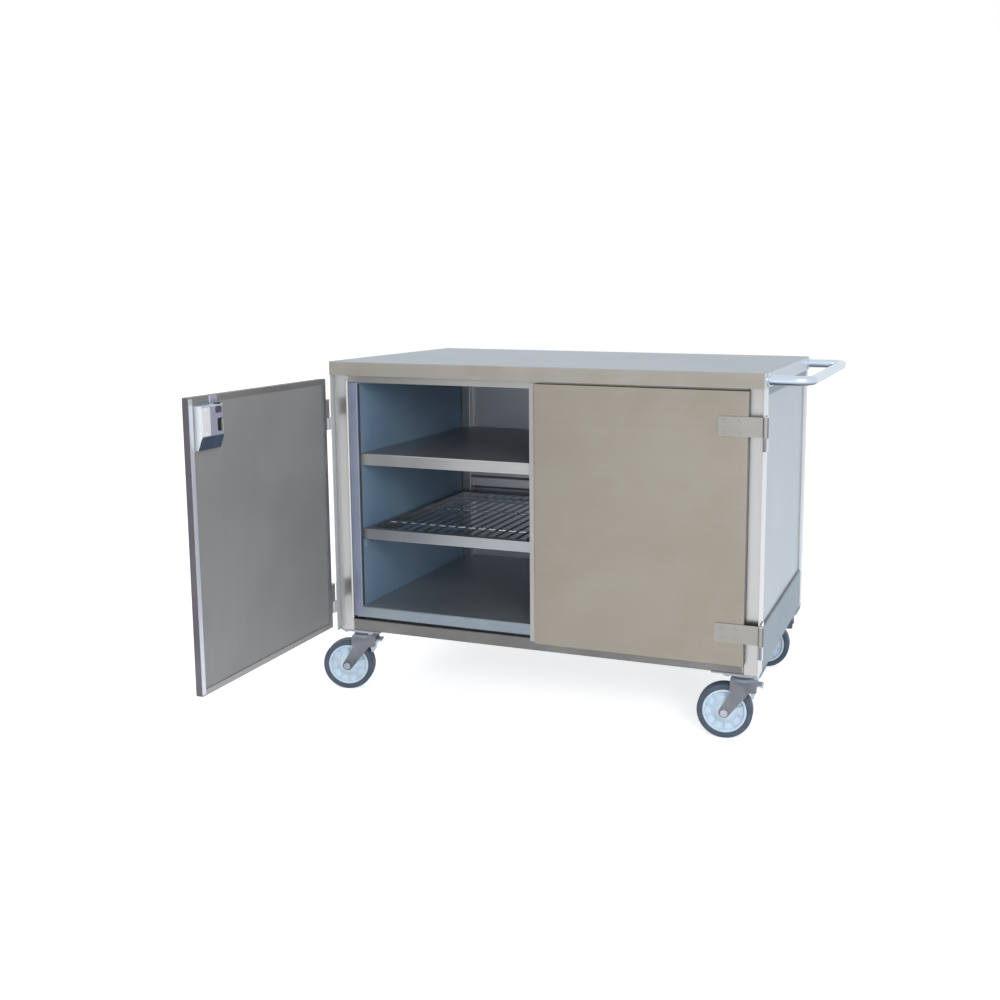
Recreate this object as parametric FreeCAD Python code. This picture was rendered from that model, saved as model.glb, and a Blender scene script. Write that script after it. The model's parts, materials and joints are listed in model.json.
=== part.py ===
import FreeCAD, Part
import math
import os
from FreeCAD import Vector

# Enclosed meal tray cart: a stainless cabinet on four swivel casters, with a pair of strap-hinged doors,
# a solid shelf, a rod shelf and a loop push handle.
# Every piece is drawn in the cabinet's own coordinates, in millimetres: x runs from the worktop's left
# side to the right, y from the doors' front faces to the back, z up from the floor.
# The left door is drawn shut and then turned open, and the last step moves the origin.

# ---- Overall sizes ----
WORKTOP_WIDTH = 1265.0
WORKTOP_DEPTH = 754.0
WORKTOP_HEIGHT = 996.0
CASTER_HEIGHT = 192.0

# ---- Sheet metal ----
SHEET = 2.0
SHEET_BEND = 1.5
WORKTOP_FLANGE = 40.0
WORKTOP_HEM = 12.0
WORKTOP_EDGE_RADIUS = 3.0

# ---- Frame ----
POST_SIZE = 44.0
POST_RADIUS = 6.0
POST_LIP_SETBACK = 1.0
TUBE_WALL = 2.0
RAIL_RADIUS = 3.0
RAIL_DEPTH = 38.0
TOP_RAIL_HEIGHT = 60.0
BASE_RAIL_HEIGHT = 35.0
SIDE_BASE_WIDTH = 30.0
SIDE_BASE_HEIGHT = 120.0
GUSSET_SIZE = 130.0
GUSSET_THICKNESS = 4.0
GUSSET_CHAMFER = 34.0

# ---- Panels and liners ----
SIDE_PANEL_INSET = 8.0
SIDE_PANEL_RETURN = 14.0
LINER_INSET = 75.0
JAMB_WIDTH = 19.0
JAMB_GROOVE_DEPTH = 8.0
LINER_TOP_FLANGE = 47.0
BACK_PANEL_INSET = 30.0
BACK_RIB_HEIGHT = 45.0
BACK_RIB_DEPTH = 8.0
BACK_RIB_FLANGE = 8.0
FLOOR_SILL_HEIGHT = 33.0
FLOOR_GROOVE_HEIGHT = 7.0
FLOOR_RETURN = 18.0
UPRIGHT_WIDTH = 34.0
UPRIGHT_DEPTH = 22.0

# ---- Shelves ----
UPPER_SHELF_HEIGHT = 727.0
UPPER_SHELF_EDGE = 35.0
SHELF_HEM = 12.0
SHELF_SETBACK = 13.0
SHELF_CLEARANCE = 0.3
STIFFENER_WIDTH = 50.0
STIFFENER_DEPTH = 18.0
GRID_SHELF_HEIGHT = 504.0
GRID_RAIL_HEIGHT = 32.0
GRID_FRONT_DEPTH = 25.0
GRID_SIDE_WIDTH = 20.0
GRID_ROD_DIAMETER = 6.0
GRID_ROD_PITCH = 32.5
GRID_CROSS_DIAMETER = 6.0
GRID_CROSS_SHARES = (0.20, 0.59, 0.94)
LEDGE_WIDTH = 22.0
LEDGE_DROP = 25.0

# ---- Doors ----
DOOR_THICKNESS = 19.0
DOOR_TO_FRAME = 3.0
DOOR_SIDE_INSET = 41.0
DOOR_BOTTOM_OVER_CHASSIS = 27.0
DOOR_BELOW_FLANGE = 6.0
DOORS_MEETING_GAP = 3.0
DOOR_EDGE_RADIUS = 3.0
DOOR_LIP = 15.0
DOOR_LINER_FLANGE = 10.0
DOOR_LINER_CLEARANCE = 0.3
LEFT_DOOR_OPEN_DEGREES = 89.0
ASTRAGAL_OVERHANG = 20.0
ASTRAGAL_BASE = 26.0
ASTRAGAL_THICKNESS = 1.5
ASTRAGAL_CLEARANCE = 0.5

# ---- Lift-off strap hinges ----
HINGE_OFFSET = 7.0
HINGE_PIN_DIAMETER = 8.0
HINGE_PLATE = 3.0
HINGE_HEIGHT = 86.0
HINGE_STRAP_HEIGHT = 51.0
HINGE_STRAP_LENGTH = 125.0
HINGE_LEAF_LENGTH = 62.0
HINGE_LEAF_STEP = 29.0
HINGE_AXIAL_GAP = 0.3
HINGE_RUNNING_CLEARANCE = 0.05
HINGE_CORNER_RADIUS = 6.0
HINGE_PIN_HEAD = 2.5
UPPER_HINGE_BELOW_DOOR_TOP = 66.0
LOWER_HINGE_ABOVE_DOOR_FOOT = 29.0

# ---- Flush turn latch in the left door ----
LATCH_FROM_FREE_EDGE = 63.0
LATCH_BELOW_DOOR_TOP = 75.0
LATCH_CASE_WIDTH = 84.0
LATCH_CASE_HEIGHT = 107.0
LATCH_CASE_PROUD = 18.0
LATCH_CASE_RADIUS = 4.0
LATCH_CASE_FOOT = 8.0
LATCH_CASE_BEVEL = 33.0
LATCH_WALL = 2.0
LATCH_WINDOW_WIDTH = 20.0
LATCH_WINDOW_HEIGHT = 32.0
LATCH_WINDOW_BELOW_SHAFT = 12.0
LATCH_WINDOW_INSET = 4.0
LATCH_EAR_WIDTH = 28.0
LATCH_EAR_THICKNESS = 2.0
LATCH_EAR_BELOW_DOOR_TOP = 1.0
CUP_WIDTH = 76.0
CUP_HEIGHT = 96.0
CUP_DEPTH = 15.0
CUP_RIM = 10.0
CUP_RIM_THICKNESS = 1.5
CUP_WALL = 1.5
CUP_RADIUS = 10.0
CUP_CUT_CLEARANCE = 0.5
TURN_BAR_LENGTH = 64.0
TURN_BAR_HEIGHT = 12.0
TURN_BAR_DEPTH = 9.0
TURN_BAR_SETBACK = 3.0
TURN_SHAFT_DIAMETER = 10.0
TURN_RUNNING_CLEARANCE = 0.05
TURN_DEGREES = 90.0
CRANK_RADIUS = 14.0
CRANK_THICKNESS = 4.0
SHAFT_HOLE_CLEARANCE = 1.0
CRANK_PIN_DIAMETER = 6.0
CRANK_PIN_CLEARANCE = 0.4
BOLT_STROKE = 14.0
BOLT_WIDTH = 16.0
BOLT_THICKNESS = 7.7
BOLT_GAP = 1.0
BOLT_BELOW_HEADER = 2.0
BOLT_FOOT_WIDTH = 40.0
BOLT_FOOT_HEIGHT = 24.0
BOLT_EDGE_INSET = 7.0
BOLT_GUIDE_CLEARANCE = 0.3
BOLT_GUIDE_WIDTH = 2.0
BOLT_GUIDE_ABOVE_SHAFT = 21.0
STRIKE_CLEARANCE = 1.0

# ---- Push handle ----
HANDLE_DIAMETER = 25.0
HANDLE_WALL = 2.0
HANDLE_REACH = 107.5
HANDLE_BEND = 38.0
ROSETTE_DIAMETER = 38.0
ROSETTE_THICKNESS = 4.0
ROSETTE_CLEARANCE = 0.05

# ---- Casters ----
CASTER_SIDE_INSET = 52.0
CASTER_END_INSET = 75.0
CASTER_TRAIL = 50.0
SWIVEL_DEGREES = {"front_left": 16.0, "front_right": 6.0, "rear_left": -9.0, "rear_right": 4.0}
CASTER_PLATE_LENGTH = 104.0
CASTER_PLATE_WIDTH = 100.0
CASTER_PLATE_THICKNESS = 4.0
CASTER_PLATE_RADIUS = 10.0
CASTER_BOLT_SPACING_X = 80.0
CASTER_BOLT_SPACING_Y = 76.0
CASTER_BOLT_DIAMETER = 8.0
CASTER_BOLT_HEAD_ACROSS = 13.0
CASTER_BOLT_HEAD_HEIGHT = 5.0
BOLT_HOLE_CLEARANCE = 0.3
KINGPIN_DIAMETER = 16.0
KINGPIN_NUT_ACROSS = 24.0
KINGPIN_NUT_HEIGHT = 9.0
SWIVEL_CLEARANCE = 0.05
SWIVEL_AXIAL_GAP = 0.3
RACE_RADIUS = 31.0
RACE_HEIGHT = 20.7
CROWN_RADIUS = 36.0
CROWN_THICKNESS = 5.0
FORK_PLATE = 4.0
FORK_BOSS_RADIUS = 15.0
FORK_SHOULDER_RADIUS = 20.0
FORK_SKIRT = 32.0
FORK_SKIRT_RADIUS = 6.0
WHEEL_DIAMETER = 152.0
WHEEL_WIDTH = 38.0
TREAD_THICKNESS = 16.0
TREAD_SHOULDER = 6.0
RIM_THICKNESS = 6.0
RIM_WIDTH = 32.0
WEB_THICKNESS = 14.0
HUB_DIAMETER = 42.0
HUB_GAP = 0.3
WHEEL_TO_FORK = 4.0
AXLE_DIAMETER = 12.0
AXLE_HEAD_ACROSS = 19.0
AXLE_HEAD_HEIGHT = 7.0
AXLE_CLEARANCE = 0.05
BRAKE_PIVOT_FORWARD = 26.0
BRAKE_PIVOT_BELOW_CROWN = 16.0
BRAKE_PIN_DIAMETER = 8.0
BRAKE_EYE_RADIUS = 9.0
BRAKE_SHOE_RADIUS = 4.0
BRAKE_TRAVEL_DEGREES = 20.0
BRAKE_PRESSED_DEGREES = 25.0
BRAKE_SHOE_CLEARANCE = 0.5
BRAKE_LEVER_WIDTH = 34.0
BRAKE_PAD_LENGTH = 18.0
BRAKE_PAD_REACH = 8.0
BRAKE_PAD_THICKNESS = 4.0
BRAKE_PAD_LIP = 9.0

# ---- Places worked out from the sizes ----
FRAME_LEFT = SHEET
FRAME_RIGHT = WORKTOP_WIDTH - SHEET
FRAME_FRONT = DOOR_THICKNESS + DOOR_TO_FRAME
FRAME_REAR = WORKTOP_DEPTH - SHEET
CHASSIS_BOTTOM = CASTER_HEIGHT + GUSSET_THICKNESS
DECK_UNDERSIDE = WORKTOP_HEIGHT - SHEET
TOP_RAIL_BOTTOM = DECK_UNDERSIDE - TOP_RAIL_HEIGHT
BASE_RAIL_TOP = CHASSIS_BOTTOM + BASE_RAIL_HEIGHT
FLOOR_TOP = BASE_RAIL_TOP + FLOOR_GROOVE_HEIGHT + FLOOR_SILL_HEIGHT
POST_INNER = FRAME_LEFT + POST_SIZE
POST_BACK = FRAME_FRONT + POST_SIZE
REAR_POST_FRONT = FRAME_REAR - POST_SIZE
LINER_FACE = LINER_INSET + SHEET
BACK_FACE = FRAME_REAR - BACK_PANEL_INSET
SILL_FOOT = FLOOR_TOP - FLOOR_SILL_HEIGHT
MIDDLE = WORKTOP_WIDTH / 2

DOOR_BOTTOM = CHASSIS_BOTTOM + DOOR_BOTTOM_OVER_CHASSIS
DOOR_TOP = WORKTOP_HEIGHT - WORKTOP_FLANGE - DOOR_BELOW_FLANGE
DOOR_FREE_EDGE = MIDDLE - DOORS_MEETING_GAP / 2
HINGE_X = FRAME_LEFT - HINGE_OFFSET
HINGE_Y = -HINGE_OFFSET
HINGE_FEET = (DOOR_BOTTOM + LOWER_HINGE_ABOVE_DOOR_FOOT, DOOR_TOP - UPPER_HINGE_BELOW_DOOR_TOP - HINGE_HEIGHT)

LATCH_X = DOOR_FREE_EDGE - LATCH_FROM_FREE_EDGE
LATCH_Z = DOOR_TOP - LATCH_BELOW_DOOR_TOP
CASE_FACE = DOOR_THICKNESS + LATCH_CASE_PROUD
LINER_BACK = DOOR_THICKNESS - SHEET
BOLT_BACK = CASE_FACE - LATCH_WALL - BOLT_GUIDE_CLEARANCE
BOLT_FRONT = BOLT_BACK - BOLT_THICKNESS
CRANK_BACK = BOLT_FRONT - BOLT_GAP
CRANK_FRONT = CRANK_BACK - CRANK_THICKNESS
CRANK_THROW = BOLT_STROKE / 2 / math.sin(math.radians(TURN_DEGREES / 2))
CRANK_REACH = CRANK_THROW * math.cos(math.radians(TURN_DEGREES / 2))
BOLT_LEFT = LATCH_X - LATCH_CASE_WIDTH / 2 + BOLT_EDGE_INSET
BOLT_X = BOLT_LEFT + BOLT_WIDTH / 2
BOLT_TOP = TOP_RAIL_BOTTOM - BOLT_BELOW_HEADER

WHEEL_RADIUS = WHEEL_DIAMETER / 2
PLATE_TOP = CASTER_HEIGHT
PLATE_BOTTOM = PLATE_TOP - CASTER_PLATE_THICKNESS
RACE_TOP = PLATE_BOTTOM - SWIVEL_AXIAL_GAP
CROWN_TOP = RACE_TOP - RACE_HEIGHT
CROWN_BOTTOM = CROWN_TOP - CROWN_THICKNESS
FORK_INSIDE = WHEEL_WIDTH / 2 + WHEEL_TO_FORK
BRAKE_PIVOT_Z = CROWN_BOTTOM - BRAKE_PIVOT_BELOW_CROWN
CASTER_PLACES = {
    "front_left": (CASTER_SIDE_INSET, CASTER_END_INSET),
    "front_right": (WORKTOP_WIDTH - CASTER_SIDE_INSET, CASTER_END_INSET),
    "rear_left": (CASTER_SIDE_INSET, WORKTOP_DEPTH - CASTER_END_INSET),
    "rear_right": (WORKTOP_WIDTH - CASTER_SIDE_INSET, WORKTOP_DEPTH - CASTER_END_INSET),
}
BRAKED = ("front_left", "front_right")

# The part's origin is on the floor, under the middle of the space that the cart takes up as it
# stands, with the left door open and the casters trailing to the left.
OPEN_ANGLE = math.radians(LEFT_DOOR_OPEN_DEGREES)
DOOR_SWING = DOOR_FREE_EDGE - HINGE_X
SWIVEL_ANGLE = math.radians(SWIVEL_DEGREES["front_left"])
WHEEL_SWING = (CASTER_TRAIL + WHEEL_RADIUS) * math.cos(SWIVEL_ANGLE) + WHEEL_WIDTH / 2 * math.sin(SWIVEL_ANGLE)
REACH_LEFT = CASTER_SIDE_INSET - WHEEL_SWING
REACH_RIGHT = WORKTOP_WIDTH + HANDLE_REACH + HANDLE_DIAMETER / 2
REACH_FRONT = HINGE_Y - DOOR_SWING * math.sin(OPEN_ANGLE) + HINGE_OFFSET * math.cos(OPEN_ANGLE)
ORIGIN = Vector((REACH_LEFT + REACH_RIGHT) / 2, (REACH_FRONT + WORKTOP_DEPTH) / 2, 0)


# ---- Drawing helpers ----
def box(x0, x1, y0, y1, z0, z1):
    return Part.makeBox(x1 - x0, y1 - y0, z1 - z0, Vector(x0, y0, z0))


def rounded_face(points, radii=0.0):
    """A flat face with straight sides whose corners are rounded, one radius for all or one each."""
    count = len(points)
    if not isinstance(radii, (list, tuple)):
        radii = [radii] * count
    corners = []
    for i, radius in enumerate(radii):
        corner = Vector(*points[i], 0)
        before = (Vector(*points[i - 1], 0) - corner).normalize()
        after = (Vector(*points[(i + 1) % count], 0) - corner).normalize()
        if radius <= 0:
            corners.append((corner, None, corner))
            continue
        half = before.getAngle(after) / 2
        middle = corner + (before + after).normalize() * (radius / math.sin(half))
        crest = middle + (corner - middle).normalize() * radius
        setback = radius / math.tan(half)
        corners.append((corner + before * setback, crest, corner + after * setback))
    edges = []
    for i, (start, crest, end) in enumerate(corners):
        if crest:
            edges.append(Part.Arc(start, crest, end).toShape())
        following = corners[(i + 1) % count][0]
        if (following - end).Length > 1e-6:
            edges.append(Part.LineSegment(end, following).toShape())
    return Part.Face(Part.Wire(edges))


def rounded_rectangle(u0, u1, v0, v1, radius=0.0):
    return rounded_face([(u0, v0), (u1, v0), (u1, v1), (u0, v1)], radius)


def tapered_link(first, first_radius, second, second_radius):
    """The face inside two circles and their outer tangents, as on a lever or a fork leg."""
    a, b = Vector(*first, 0), Vector(*second, 0)
    along = b - a
    heading = math.atan2(along.y, along.x)
    spread = math.acos((first_radius - second_radius) / along.Length)

    def rim(centre, radius, angle):
        return centre + Vector(math.cos(angle), math.sin(angle), 0) * radius

    up, down = heading + spread, heading - spread
    edges = [
        Part.LineSegment(rim(a, first_radius, down), rim(b, second_radius, down)).toShape(),
        Part.Arc(
            rim(b, second_radius, down), rim(b, second_radius, heading), rim(b, second_radius, up)
        ).toShape(),
        Part.LineSegment(rim(b, second_radius, up), rim(a, first_radius, up)).toShape(),
        Part.Arc(
            rim(a, first_radius, up), rim(a, first_radius, heading + math.pi), rim(a, first_radius, down)
        ).toShape(),
    ]
    return Part.Face(Part.Wire(edges))


def prism(face, start, end, axis):
    """A face pushed along an axis: its two directions are x,y along Z, y,z along X, and z,x along Y."""
    solid = face.extrude(Vector(0, 0, end - start))
    solid.translate(Vector(0, 0, start))
    turns = {"Z": 0, "X": 1, "Y": 2}[axis]
    solid.rotate(Vector(), Vector(1, 1, 1), 120 * turns)
    return solid


def tube(u0, u1, v0, v1, start, end, axis, radius=RAIL_RADIUS, wall=TUBE_WALL):
    outside = prism(rounded_rectangle(u0, u1, v0, v1, radius), start, end, axis)
    bore = rounded_rectangle(u0 + wall, u1 - wall, v0 + wall, v1 - wall, max(radius - wall, 0.5))
    return outside.cut(prism(bore, start - 1, end + 1, axis))


def bent_sheet(points, axis, start, end, thickness=SHEET, bend=SHEET_BEND):
    """Folded sheet: the points are one skin, and the sheet lies on the left of that line."""
    line = [Vector(*p, 0) for p in points]
    normals = []
    for a, b in zip(line, line[1:]):
        along = (b - a).normalize()
        normals.append(Vector(-along.y, along.x, 0))
    skin, skin_radii = [line[0] + normals[0] * thickness], [0]
    line_radii = [0]
    for i in range(1, len(line) - 1):
        before, after = normals[i - 1], normals[i]
        mitre = (before + after) * (thickness / (1 + before.dot(after)))
        skin.append(line[i] + mitre)
        left_turn = before.cross(after).z > 0
        skin_radii.append(bend if left_turn else bend + thickness)
        line_radii.append(bend + thickness if left_turn else bend)
    skin.append(line[-1] + normals[-1] * thickness)
    outline = line + skin[::-1]
    radii = line_radii + [0, 0] + skin_radii[::-1]
    return prism(rounded_face([(p.x, p.y) for p in outline], radii), start, end, axis)


def rod(x, y, z, radius, length, axis):
    direction = {"X": Vector(1, 0, 0), "Y": Vector(0, 1, 0), "Z": Vector(0, 0, 1)}[axis]
    return Part.makeCylinder(radius, length, Vector(x, y, z), direction)


def hexagon(x, y, z, across, length, axis):
    corners = [math.radians(60 * i) for i in range(6)]
    radius = across / math.sqrt(3)
    solid = prism(rounded_face([(radius * math.cos(a), radius * math.sin(a)) for a in corners]), 0, length, axis)
    solid.translate(Vector(x, y, z))
    return solid


def joined(first, *others):
    return first.fuse(list(others)).removeSplitter()


def mirrored(shape):
    return shape.mirror(Vector(MIDDLE, 0, 0), Vector(1, 0, 0))


def both_sides(shape):
    return [shape, mirrored(shape)]


def opened(shape):
    """Swings a piece of the left door from shut to where the door stands."""
    turned = shape.copy()
    turned.rotate(Vector(HINGE_X, HINGE_Y, 0), Vector(0, 0, 1), -LEFT_DOOR_OPEN_DEGREES)
    return turned


# ---- Cabinet frame ----
def worktop():
    """A sheet folded down all round and hemmed in under its edge."""
    low = WORKTOP_HEIGHT - WORKTOP_FLANGE
    slab = box(0, WORKTOP_WIDTH, 0, WORKTOP_DEPTH, low, WORKTOP_HEIGHT)
    rims = [e for e in slab.Edges if e.CenterOfMass.z > low + 1]
    slab = slab.makeFillet(WORKTOP_EDGE_RADIUS, rims)
    inside = box(SHEET, WORKTOP_WIDTH - SHEET, SHEET, WORKTOP_DEPTH - SHEET, low + SHEET, DECK_UNDERSIDE)
    mouth = box(SHEET, WORKTOP_WIDTH - SHEET, WORKTOP_HEM, WORKTOP_DEPTH - SHEET, low - 1, low + SHEET + 1)
    return slab.cut(inside).cut(mouth)


def post(x0, y0):
    return tube(x0, x0 + POST_SIZE, y0, y0 + POST_SIZE, CHASSIS_BOTTOM, DECK_UNDERSIDE, "Z", POST_RADIUS)


def front_post():
    """A front post, whose outer side carries a thin lip that reaches forward beside the door."""
    lip_top = WORKTOP_HEIGHT - WORKTOP_FLANGE
    lip_back = FRAME_FRONT + POST_RADIUS + TUBE_WALL
    lip = box(FRAME_LEFT, FRAME_LEFT + TUBE_WALL, POST_LIP_SETBACK, lip_back, CHASSIS_BOTTOM, lip_top)
    return joined(post(FRAME_LEFT, FRAME_FRONT), lip)


def cross_rail(y0, z0, z1):
    return tube(y0, y0 + RAIL_DEPTH, z0, z1, POST_INNER, WORKTOP_WIDTH - POST_INNER, "X")


def header_rail():
    """The rail over the doors, slotted underneath for the latch bolt."""
    rail = cross_rail(FRAME_FRONT, TOP_RAIL_BOTTOM, DECK_UNDERSIDE)
    reach = BOLT_WIDTH / 2 + STRIKE_CLEARANCE
    front, back = BOLT_FRONT - STRIKE_CLEARANCE, BOLT_BACK + STRIKE_CLEARANCE
    low, high = TOP_RAIL_BOTTOM - 1, TOP_RAIL_BOTTOM + TUBE_WALL + 1
    return rail.cut(box(BOLT_X - reach, BOLT_X + reach, front, back, low, high))


def side_rail(width, z0, z1):
    return tube(z0, z1, FRAME_LEFT, FRAME_LEFT + width, POST_BACK, REAR_POST_FRONT, "Y")


def corner_gusset(caster):
    """The plate under one corner of the frame that a caster bolts to, with its inner corner cut off."""
    x, y = CASTER_PLACES[caster]
    x0 = FRAME_LEFT if x < MIDDLE else FRAME_RIGHT
    y0 = FRAME_FRONT if y < WORKTOP_DEPTH / 2 else FRAME_REAR
    across = math.copysign(1, MIDDLE - x)
    back = math.copysign(1, WORKTOP_DEPTH / 2 - y)
    short = GUSSET_SIZE - GUSSET_CHAMFER
    outline = [(0, 0), (GUSSET_SIZE, 0), (GUSSET_SIZE, short), (short, GUSSET_SIZE), (0, GUSSET_SIZE)]
    face = rounded_face([(x0 + across * u, y0 + back * v) for u, v in outline])
    plate = prism(face, CASTER_HEIGHT, CHASSIS_BOTTOM, "Z")
    return plate.cut(caster_bolt_holes(caster, CASTER_HEIGHT - 1, CHASSIS_BOTTOM + 1))


# ---- Panels and linings ----
def side_panel():
    """The left side's outer panel: a shallow pan between the posts, turned in at all four edges."""
    x0 = FRAME_LEFT + SIDE_PANEL_INSET
    z0 = CHASSIS_BOTTOM + SIDE_BASE_HEIGHT
    pan = box(x0, x0 + SIDE_PANEL_RETURN, POST_BACK, REAR_POST_FRONT, z0, TOP_RAIL_BOTTOM)
    return pan.cut(
        box(
            x0 + SHEET,
            x0 + SIDE_PANEL_RETURN + 1,
            POST_BACK + SHEET,
            REAR_POST_FRONT - SHEET,
            z0 + SHEET,
            TOP_RAIL_BOTTOM - SHEET,
        )
    )


def side_liner():
    """The left wall lining, folded at the front into a narrow jamb with a shadow groove by the post."""
    groove_back = FRAME_FRONT + JAMB_GROOVE_DEPTH
    jamb = LINER_FACE - JAMB_WIDTH
    line = [
        (POST_INNER, groove_back),
        (jamb, groove_back),
        (jamb, FRAME_FRONT),
        (LINER_FACE, FRAME_FRONT),
        (LINER_FACE, BACK_FACE),
    ]
    wall = bent_sheet(line, "Z", BASE_RAIL_TOP, TOP_RAIL_BOTTOM)
    foot_back = FRAME_FRONT + FLOOR_RETURN - SHEET
    wall = wall.cut(box(POST_INNER - 1, LINER_FACE + 1, FRAME_FRONT - 1, foot_back, BASE_RAIL_TOP - 1, SILL_FOOT))
    cap = LINER_FACE - LINER_TOP_FLANGE
    return joined(
        wall, box(cap, LINER_FACE, POST_BACK, REAR_POST_FRONT, TOP_RAIL_BOTTOM - SHEET, TOP_RAIL_BOTTOM)
    )


def back_panel():
    return box(
        POST_INNER, WORKTOP_WIDTH - POST_INNER, BACK_FACE, BACK_FACE + SHEET, BASE_RAIL_TOP, TOP_RAIL_BOTTOM
    )


def back_rib():
    """A top-hat stiffener across the back wall, just above the rod shelf."""
    low = GRID_SHELF_HEIGHT + BACK_RIB_FLANGE
    line = [
        (BACK_FACE - SHEET, low - BACK_RIB_FLANGE),
        (BACK_FACE - SHEET, low),
        (BACK_FACE - BACK_RIB_DEPTH, low + BACK_RIB_DEPTH),
        (BACK_FACE - BACK_RIB_DEPTH, low + BACK_RIB_HEIGHT - BACK_RIB_DEPTH),
        (BACK_FACE - SHEET, low + BACK_RIB_HEIGHT),
        (BACK_FACE - SHEET, low + BACK_RIB_HEIGHT + BACK_RIB_FLANGE),
    ]
    start = LINER_FACE + UPRIGHT_WIDTH + SHELF_CLEARANCE
    return bent_sheet([(y, z) for y, z in line][::-1], "X", start, WORKTOP_WIDTH - start)


def floor_pan():
    """The cabinet floor, between the linings: its front edge folds down, in and down again, its back
    edge folds down, and it is notched round the rear uprights."""
    line = [
        (FRAME_FRONT + FLOOR_RETURN, BASE_RAIL_TOP),
        (FRAME_FRONT + FLOOR_RETURN, SILL_FOOT),
        (FRAME_FRONT, SILL_FOOT),
        (FRAME_FRONT, FLOOR_TOP),
        (BACK_FACE, FLOOR_TOP),
        (BACK_FACE, BASE_RAIL_TOP),
    ]
    pan = bent_sheet([(y, z) for y, z in line][::-1], "X", LINER_FACE, WORKTOP_WIDTH - LINER_FACE)
    notch = upright_notch(BASE_RAIL_TOP, FLOOR_TOP)
    return pan.cut(notch).cut(mirrored(notch))


def rear_upright():
    """A channel up the back corner of the compartments."""
    right = LINER_FACE + UPRIGHT_WIDTH
    front = BACK_FACE - UPRIGHT_DEPTH
    line = [(LINER_FACE, BACK_FACE), (LINER_FACE, front), (right, front), (right, BACK_FACE)]
    return bent_sheet(line, "Z", BASE_RAIL_TOP, TOP_RAIL_BOTTOM)


def upright_notch(z0, z1):
    """What the floor and the solid shelf leave free round the left rear upright."""
    return box(
        LINER_FACE - 1,
        LINER_FACE + UPRIGHT_WIDTH + SHELF_CLEARANCE,
        BACK_FACE - UPRIGHT_DEPTH - SHELF_CLEARANCE,
        BACK_FACE + 1,
        z0 - 1,
        z1 + 1,
    )


# ---- Shelves ----
SHELF_LEFT = LINER_FACE + SHELF_CLEARANCE
SHELF_RIGHT = WORKTOP_WIDTH - SHELF_LEFT
SHELF_FRONT = FRAME_FRONT + SHELF_SETBACK


def upper_shelf():
    """A folded shelf with hemmed edges, notched round the rear uprights, with a stiffener underneath."""
    foot = UPPER_SHELF_HEIGHT - UPPER_SHELF_EDGE
    underside = UPPER_SHELF_HEIGHT - SHEET
    line = [
        (BACK_FACE - SHELF_HEM, foot),
        (BACK_FACE, foot),
        (BACK_FACE, UPPER_SHELF_HEIGHT),
        (SHELF_FRONT, UPPER_SHELF_HEIGHT),
        (SHELF_FRONT, foot),
        (SHELF_FRONT + SHELF_HEM, foot),
    ]
    deck = bent_sheet(line, "X", SHELF_LEFT, SHELF_RIGHT)
    notch = upright_notch(foot, UPPER_SHELF_HEIGHT)
    middle = (SHELF_FRONT + BACK_FACE) / 2
    half = STIFFENER_WIDTH / 2
    hat = [
        (middle - half, underside),
        (middle - half, underside - STIFFENER_DEPTH),
        (middle + half, underside - STIFFENER_DEPTH),
        (middle + half, underside),
    ]
    inset = LEDGE_WIDTH + SHEET
    stiffener = bent_sheet(hat, "X", SHELF_LEFT + inset, SHELF_RIGHT - inset)
    return joined(deck.cut(notch).cut(mirrored(notch)), stiffener)


def shelf_ledge(top):
    """An angle on the side lining that a shelf rests on."""
    line = [
        (top - LEDGE_DROP, LINER_FACE),
        (top, LINER_FACE),
        (top, LINER_FACE + LEDGE_WIDTH),
    ]
    start = SHELF_FRONT + SHELF_HEM + SHEET
    return bent_sheet(line, "Y", start, BACK_FACE - UPRIGHT_DEPTH - SHELF_CLEARANCE)


GRID_FOOT = GRID_SHELF_HEIGHT - GRID_RAIL_HEIGHT
GRID_FRONT = SHELF_FRONT + GRID_FRONT_DEPTH
GRID_REAR = BACK_FACE - UPRIGHT_DEPTH - SHEET - GRID_FRONT_DEPTH


def grid_front_rail():
    return tube(SHELF_FRONT, GRID_FRONT, GRID_FOOT, GRID_SHELF_HEIGHT, SHELF_LEFT, SHELF_RIGHT, "X")


def grid_rear_rail():
    rear = GRID_REAR + GRID_FRONT_DEPTH
    return tube(GRID_REAR, rear, GRID_FOOT, GRID_SHELF_HEIGHT, SHELF_LEFT, SHELF_RIGHT, "X")


def grid_side_rail():
    left = SHELF_LEFT + GRID_SIDE_WIDTH
    return tube(GRID_FOOT, GRID_SHELF_HEIGHT, SHELF_LEFT, left, GRID_FRONT, GRID_REAR, "Y")


def grid_rods():
    """Rods from the front rail to the rear one, with fewer and thicker rods welded across beneath them."""
    left = SHELF_LEFT + GRID_SIDE_WIDTH
    span = WORKTOP_WIDTH - 2 * left
    gaps = max(2, round(span / GRID_ROD_PITCH))
    radius = GRID_ROD_DIAMETER / 2
    level = GRID_SHELF_HEIGHT - radius
    depth = GRID_REAR - GRID_FRONT
    rods = [rod(left + span * i / gaps, GRID_FRONT, level, radius, depth, "Y") for i in range(1, gaps)]
    thick = GRID_CROSS_DIAMETER / 2
    for share in GRID_CROSS_SHARES:
        rods.append(rod(left, GRID_FRONT + depth * share, level - radius - thick, thick, span, "X"))
    return rods


# ---- Doors ----
def latch_cutout(y0, y1):
    half_width = CUP_WIDTH / 2 + CUP_CUT_CLEARANCE
    half_height = CUP_HEIGHT / 2 + CUP_CUT_CLEARANCE
    face = rounded_rectangle(
        LATCH_Z - half_height, LATCH_Z + half_height, LATCH_X - half_width, LATCH_X + half_width, CUP_RADIUS
    )
    return prism(face, y0, y1, "Y")


def shaft_hole():
    radius = TURN_SHAFT_DIAMETER / 2 + SHAFT_HOLE_CLEARANCE
    return rod(LATCH_X, SHEET, LATCH_Z, radius, DOOR_THICKNESS, "Y")


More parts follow.
